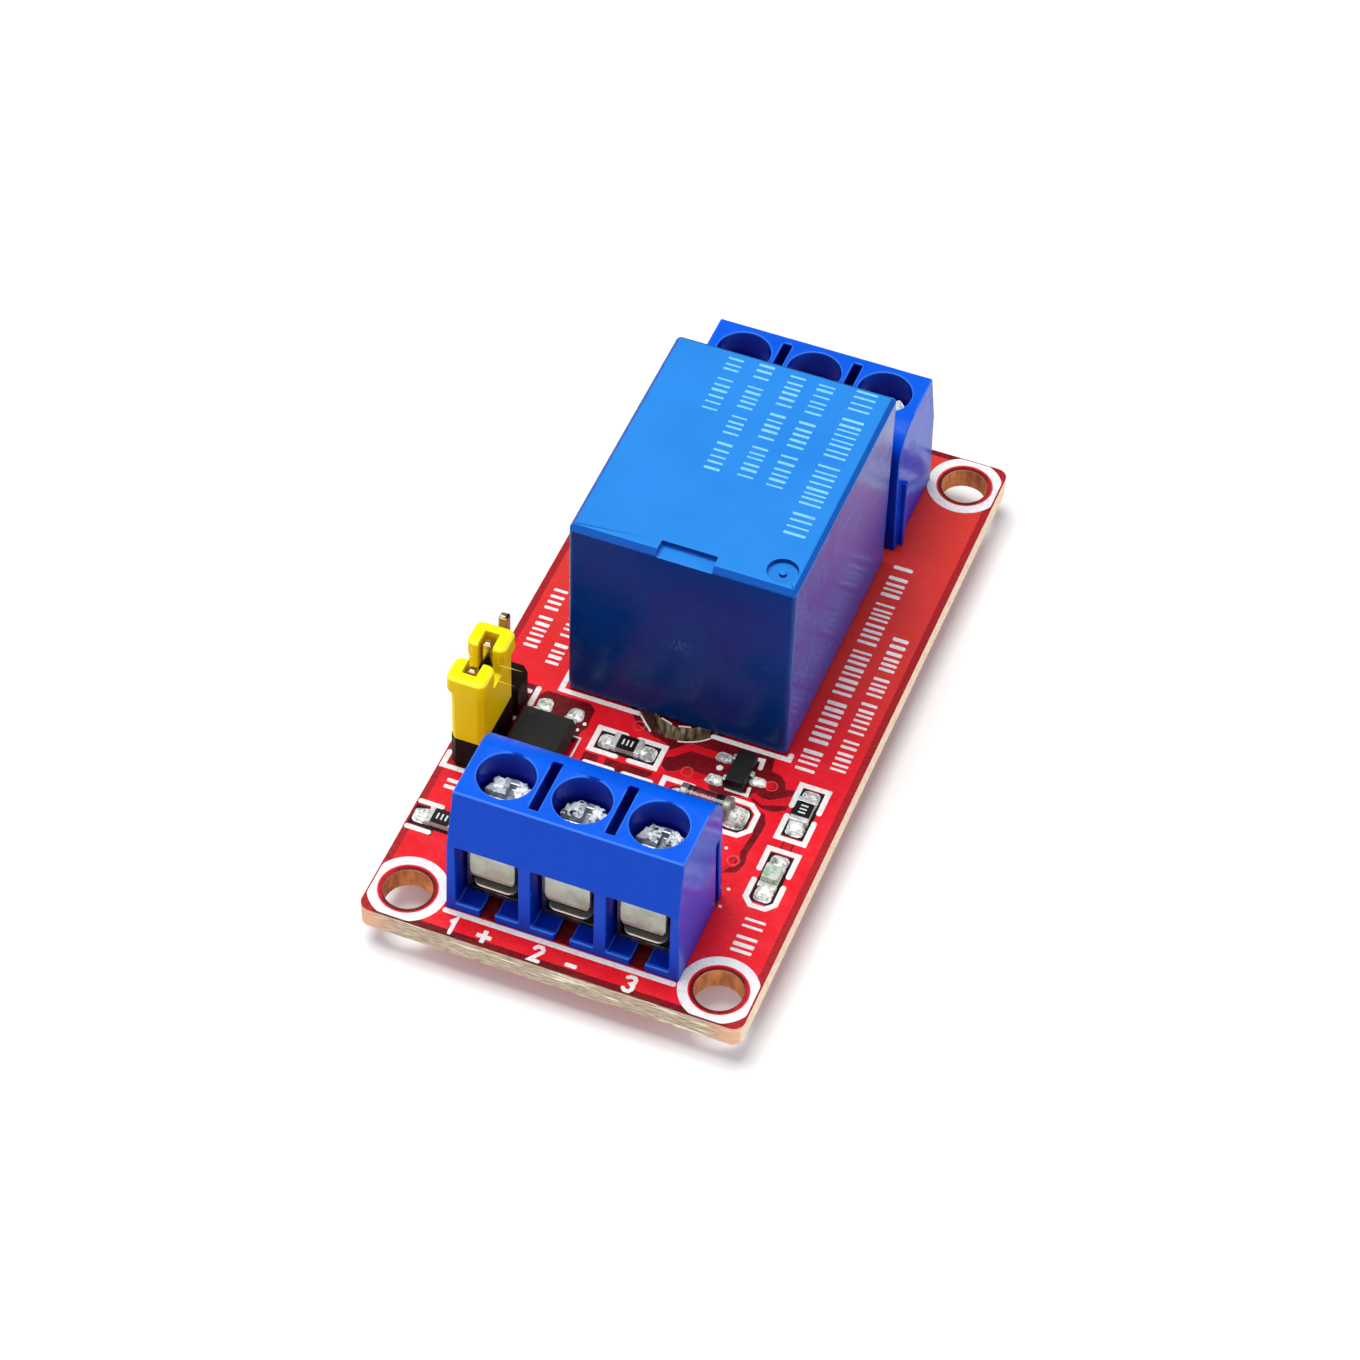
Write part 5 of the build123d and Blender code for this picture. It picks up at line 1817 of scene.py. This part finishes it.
@dataclass
class Studio:
    """Pale floor, soft lamps and the camera of the photograph."""

    eye: Place = (61.5685, -173.1980, 210.2240)
    right: Place = (0.930704, 0.3650717, 0.0226444)
    down: Place = (0.2870738, -0.6906889, -0.66373)
    ahead: Place = (-0.2266688, 0.6242367, -0.7476294)
    focal_pixels: float = 4164.395
    sensor: float = 36.0
    floor_size: float = 3.0
    floor_glow: float = 0.09
    glow_from: float = 9.0
    glow_full: float = 15.0
    sky_light: float = 0.28
    lamps: tuple[Lamp, ...] = (
        Lamp("overhead_softbox", (-0.12, 0.03, 0.58), (0.34, 0.34), 3.1),
        Lamp("fill_front", (-0.22, -0.46, 0.22), (0.4, 0.3), 0.62),
        Lamp("fill_right", (0.50, -0.10, 0.16), (0.3, 0.3), 0.85),
    )

    def build(self) -> None:
        """Set the stage."""
        self._camera()
        self._floor()
        self._world()
        for lamp in self.lamps:
            lamp.hang()
        bpy.context.scene.view_settings.view_transform = "Standard"

    def _camera(self) -> None:
        """Camera at the photograph's place and angle."""
        data = bpy.data.cameras.new("photo_camera")
        data.sensor_width = self.sensor
        data.lens = self.focal_pixels / PHOTO_SIDE * self.sensor
        data.clip_start = 0.01
        data.clip_end = 20.0
        camera = bpy.data.objects.new("photo_camera", data)
        bpy.context.scene.collection.objects.link(camera)
        axes = (Vector(self.right), -Vector(self.down), -Vector(self.ahead))
        turn = Matrix(axes).transposed().to_4x4()
        camera.matrix_world = Matrix.Translation(Vector(self.eye) * MM) @ turn
        bpy.context.scene.camera = camera

    def _floor(self) -> None:
        """White floor that keeps the object's soft shadow."""
        half = self.floor_size / 2
        mesh = bpy.data.meshes.new("studio_floor")
        corners = [(-half, -half, 0), (half, -half, 0), (half, half, 0), (-half, half, 0)]
        mesh.from_pydata(corners, [], [(0, 1, 2, 3)])
        floor = bpy.data.objects.new("studio_floor", mesh)
        bpy.context.scene.collection.objects.link(floor)
        sketch = NodeSketch("studio_floor")
        paper, shade = srgb(246, 246, 246), srgb(243, 243, 244)
        sketch.set("Base Color", sketch.blend(sketch.noise(60, 2), paper, shade))
        sketch.set("Roughness", 0.9)
        sketch.set("Specular IOR Level", 0.1)
        glow = sketch.add("ShaderNodeEmission")
        path = sketch.add("ShaderNodeLightPath")
        seen = sketch.math("MAXIMUM", path.outputs["Is Camera Ray"],
                           path.outputs["Is Transmission Ray"])
        away = sketch.add("ShaderNodeVectorMath", operation="LENGTH")
        sketch.join(sketch.millimetres(), away.inputs[0])
        clear = sketch.spread(away.outputs["Value"], self.glow_from, self.glow_full, 0.0,
                              self.floor_glow)
        sketch.join(sketch.times(seen, clear), glow.inputs["Strength"])
        both = sketch.add("ShaderNodeAddShader")
        sketch.join(sketch.shader.outputs[0], both.inputs[0])
        sketch.join(glow.outputs[0], both.inputs[1])
        sketch.join(both.outputs[0], sketch.output.inputs["Surface"])
        mesh.materials.append(sketch.material)

    def _world(self) -> None:
        """Soft even light, white where the camera sees it."""
        world = bpy.data.worlds.new("studio_world")
        bpy.context.scene.world = world
        world.use_nodes = True
        tree = world.node_tree
        shade = tree.nodes["Background"]
        shade.inputs["Color"].default_value = (1, 1, 1, 1)
        path = tree.nodes.new("ShaderNodeLightPath")
        level = tree.nodes.new("ShaderNodeMapRange")
        level.inputs[3].default_value = self.sky_light
        level.inputs[4].default_value = 1.0
        tree.links.new(path.outputs["Is Camera Ray"], level.inputs[0])
        tree.links.new(level.outputs[0], shade.inputs["Strength"])


def main() -> None:
    """Build the finishes and the thin layers in order."""
    logging.basicConfig(level=logging.INFO, format="%(name)s: %(message)s")
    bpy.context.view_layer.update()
    level = Level()
    CircuitBoard(level).build()
    SilkPrint(level).build()
    SolderJoints(level).build()
    Terminals().build()
    Header().build()
    SmallParts().build()
    Relay().build()
    Studio().build()


if __name__ == "__main__":
    main()
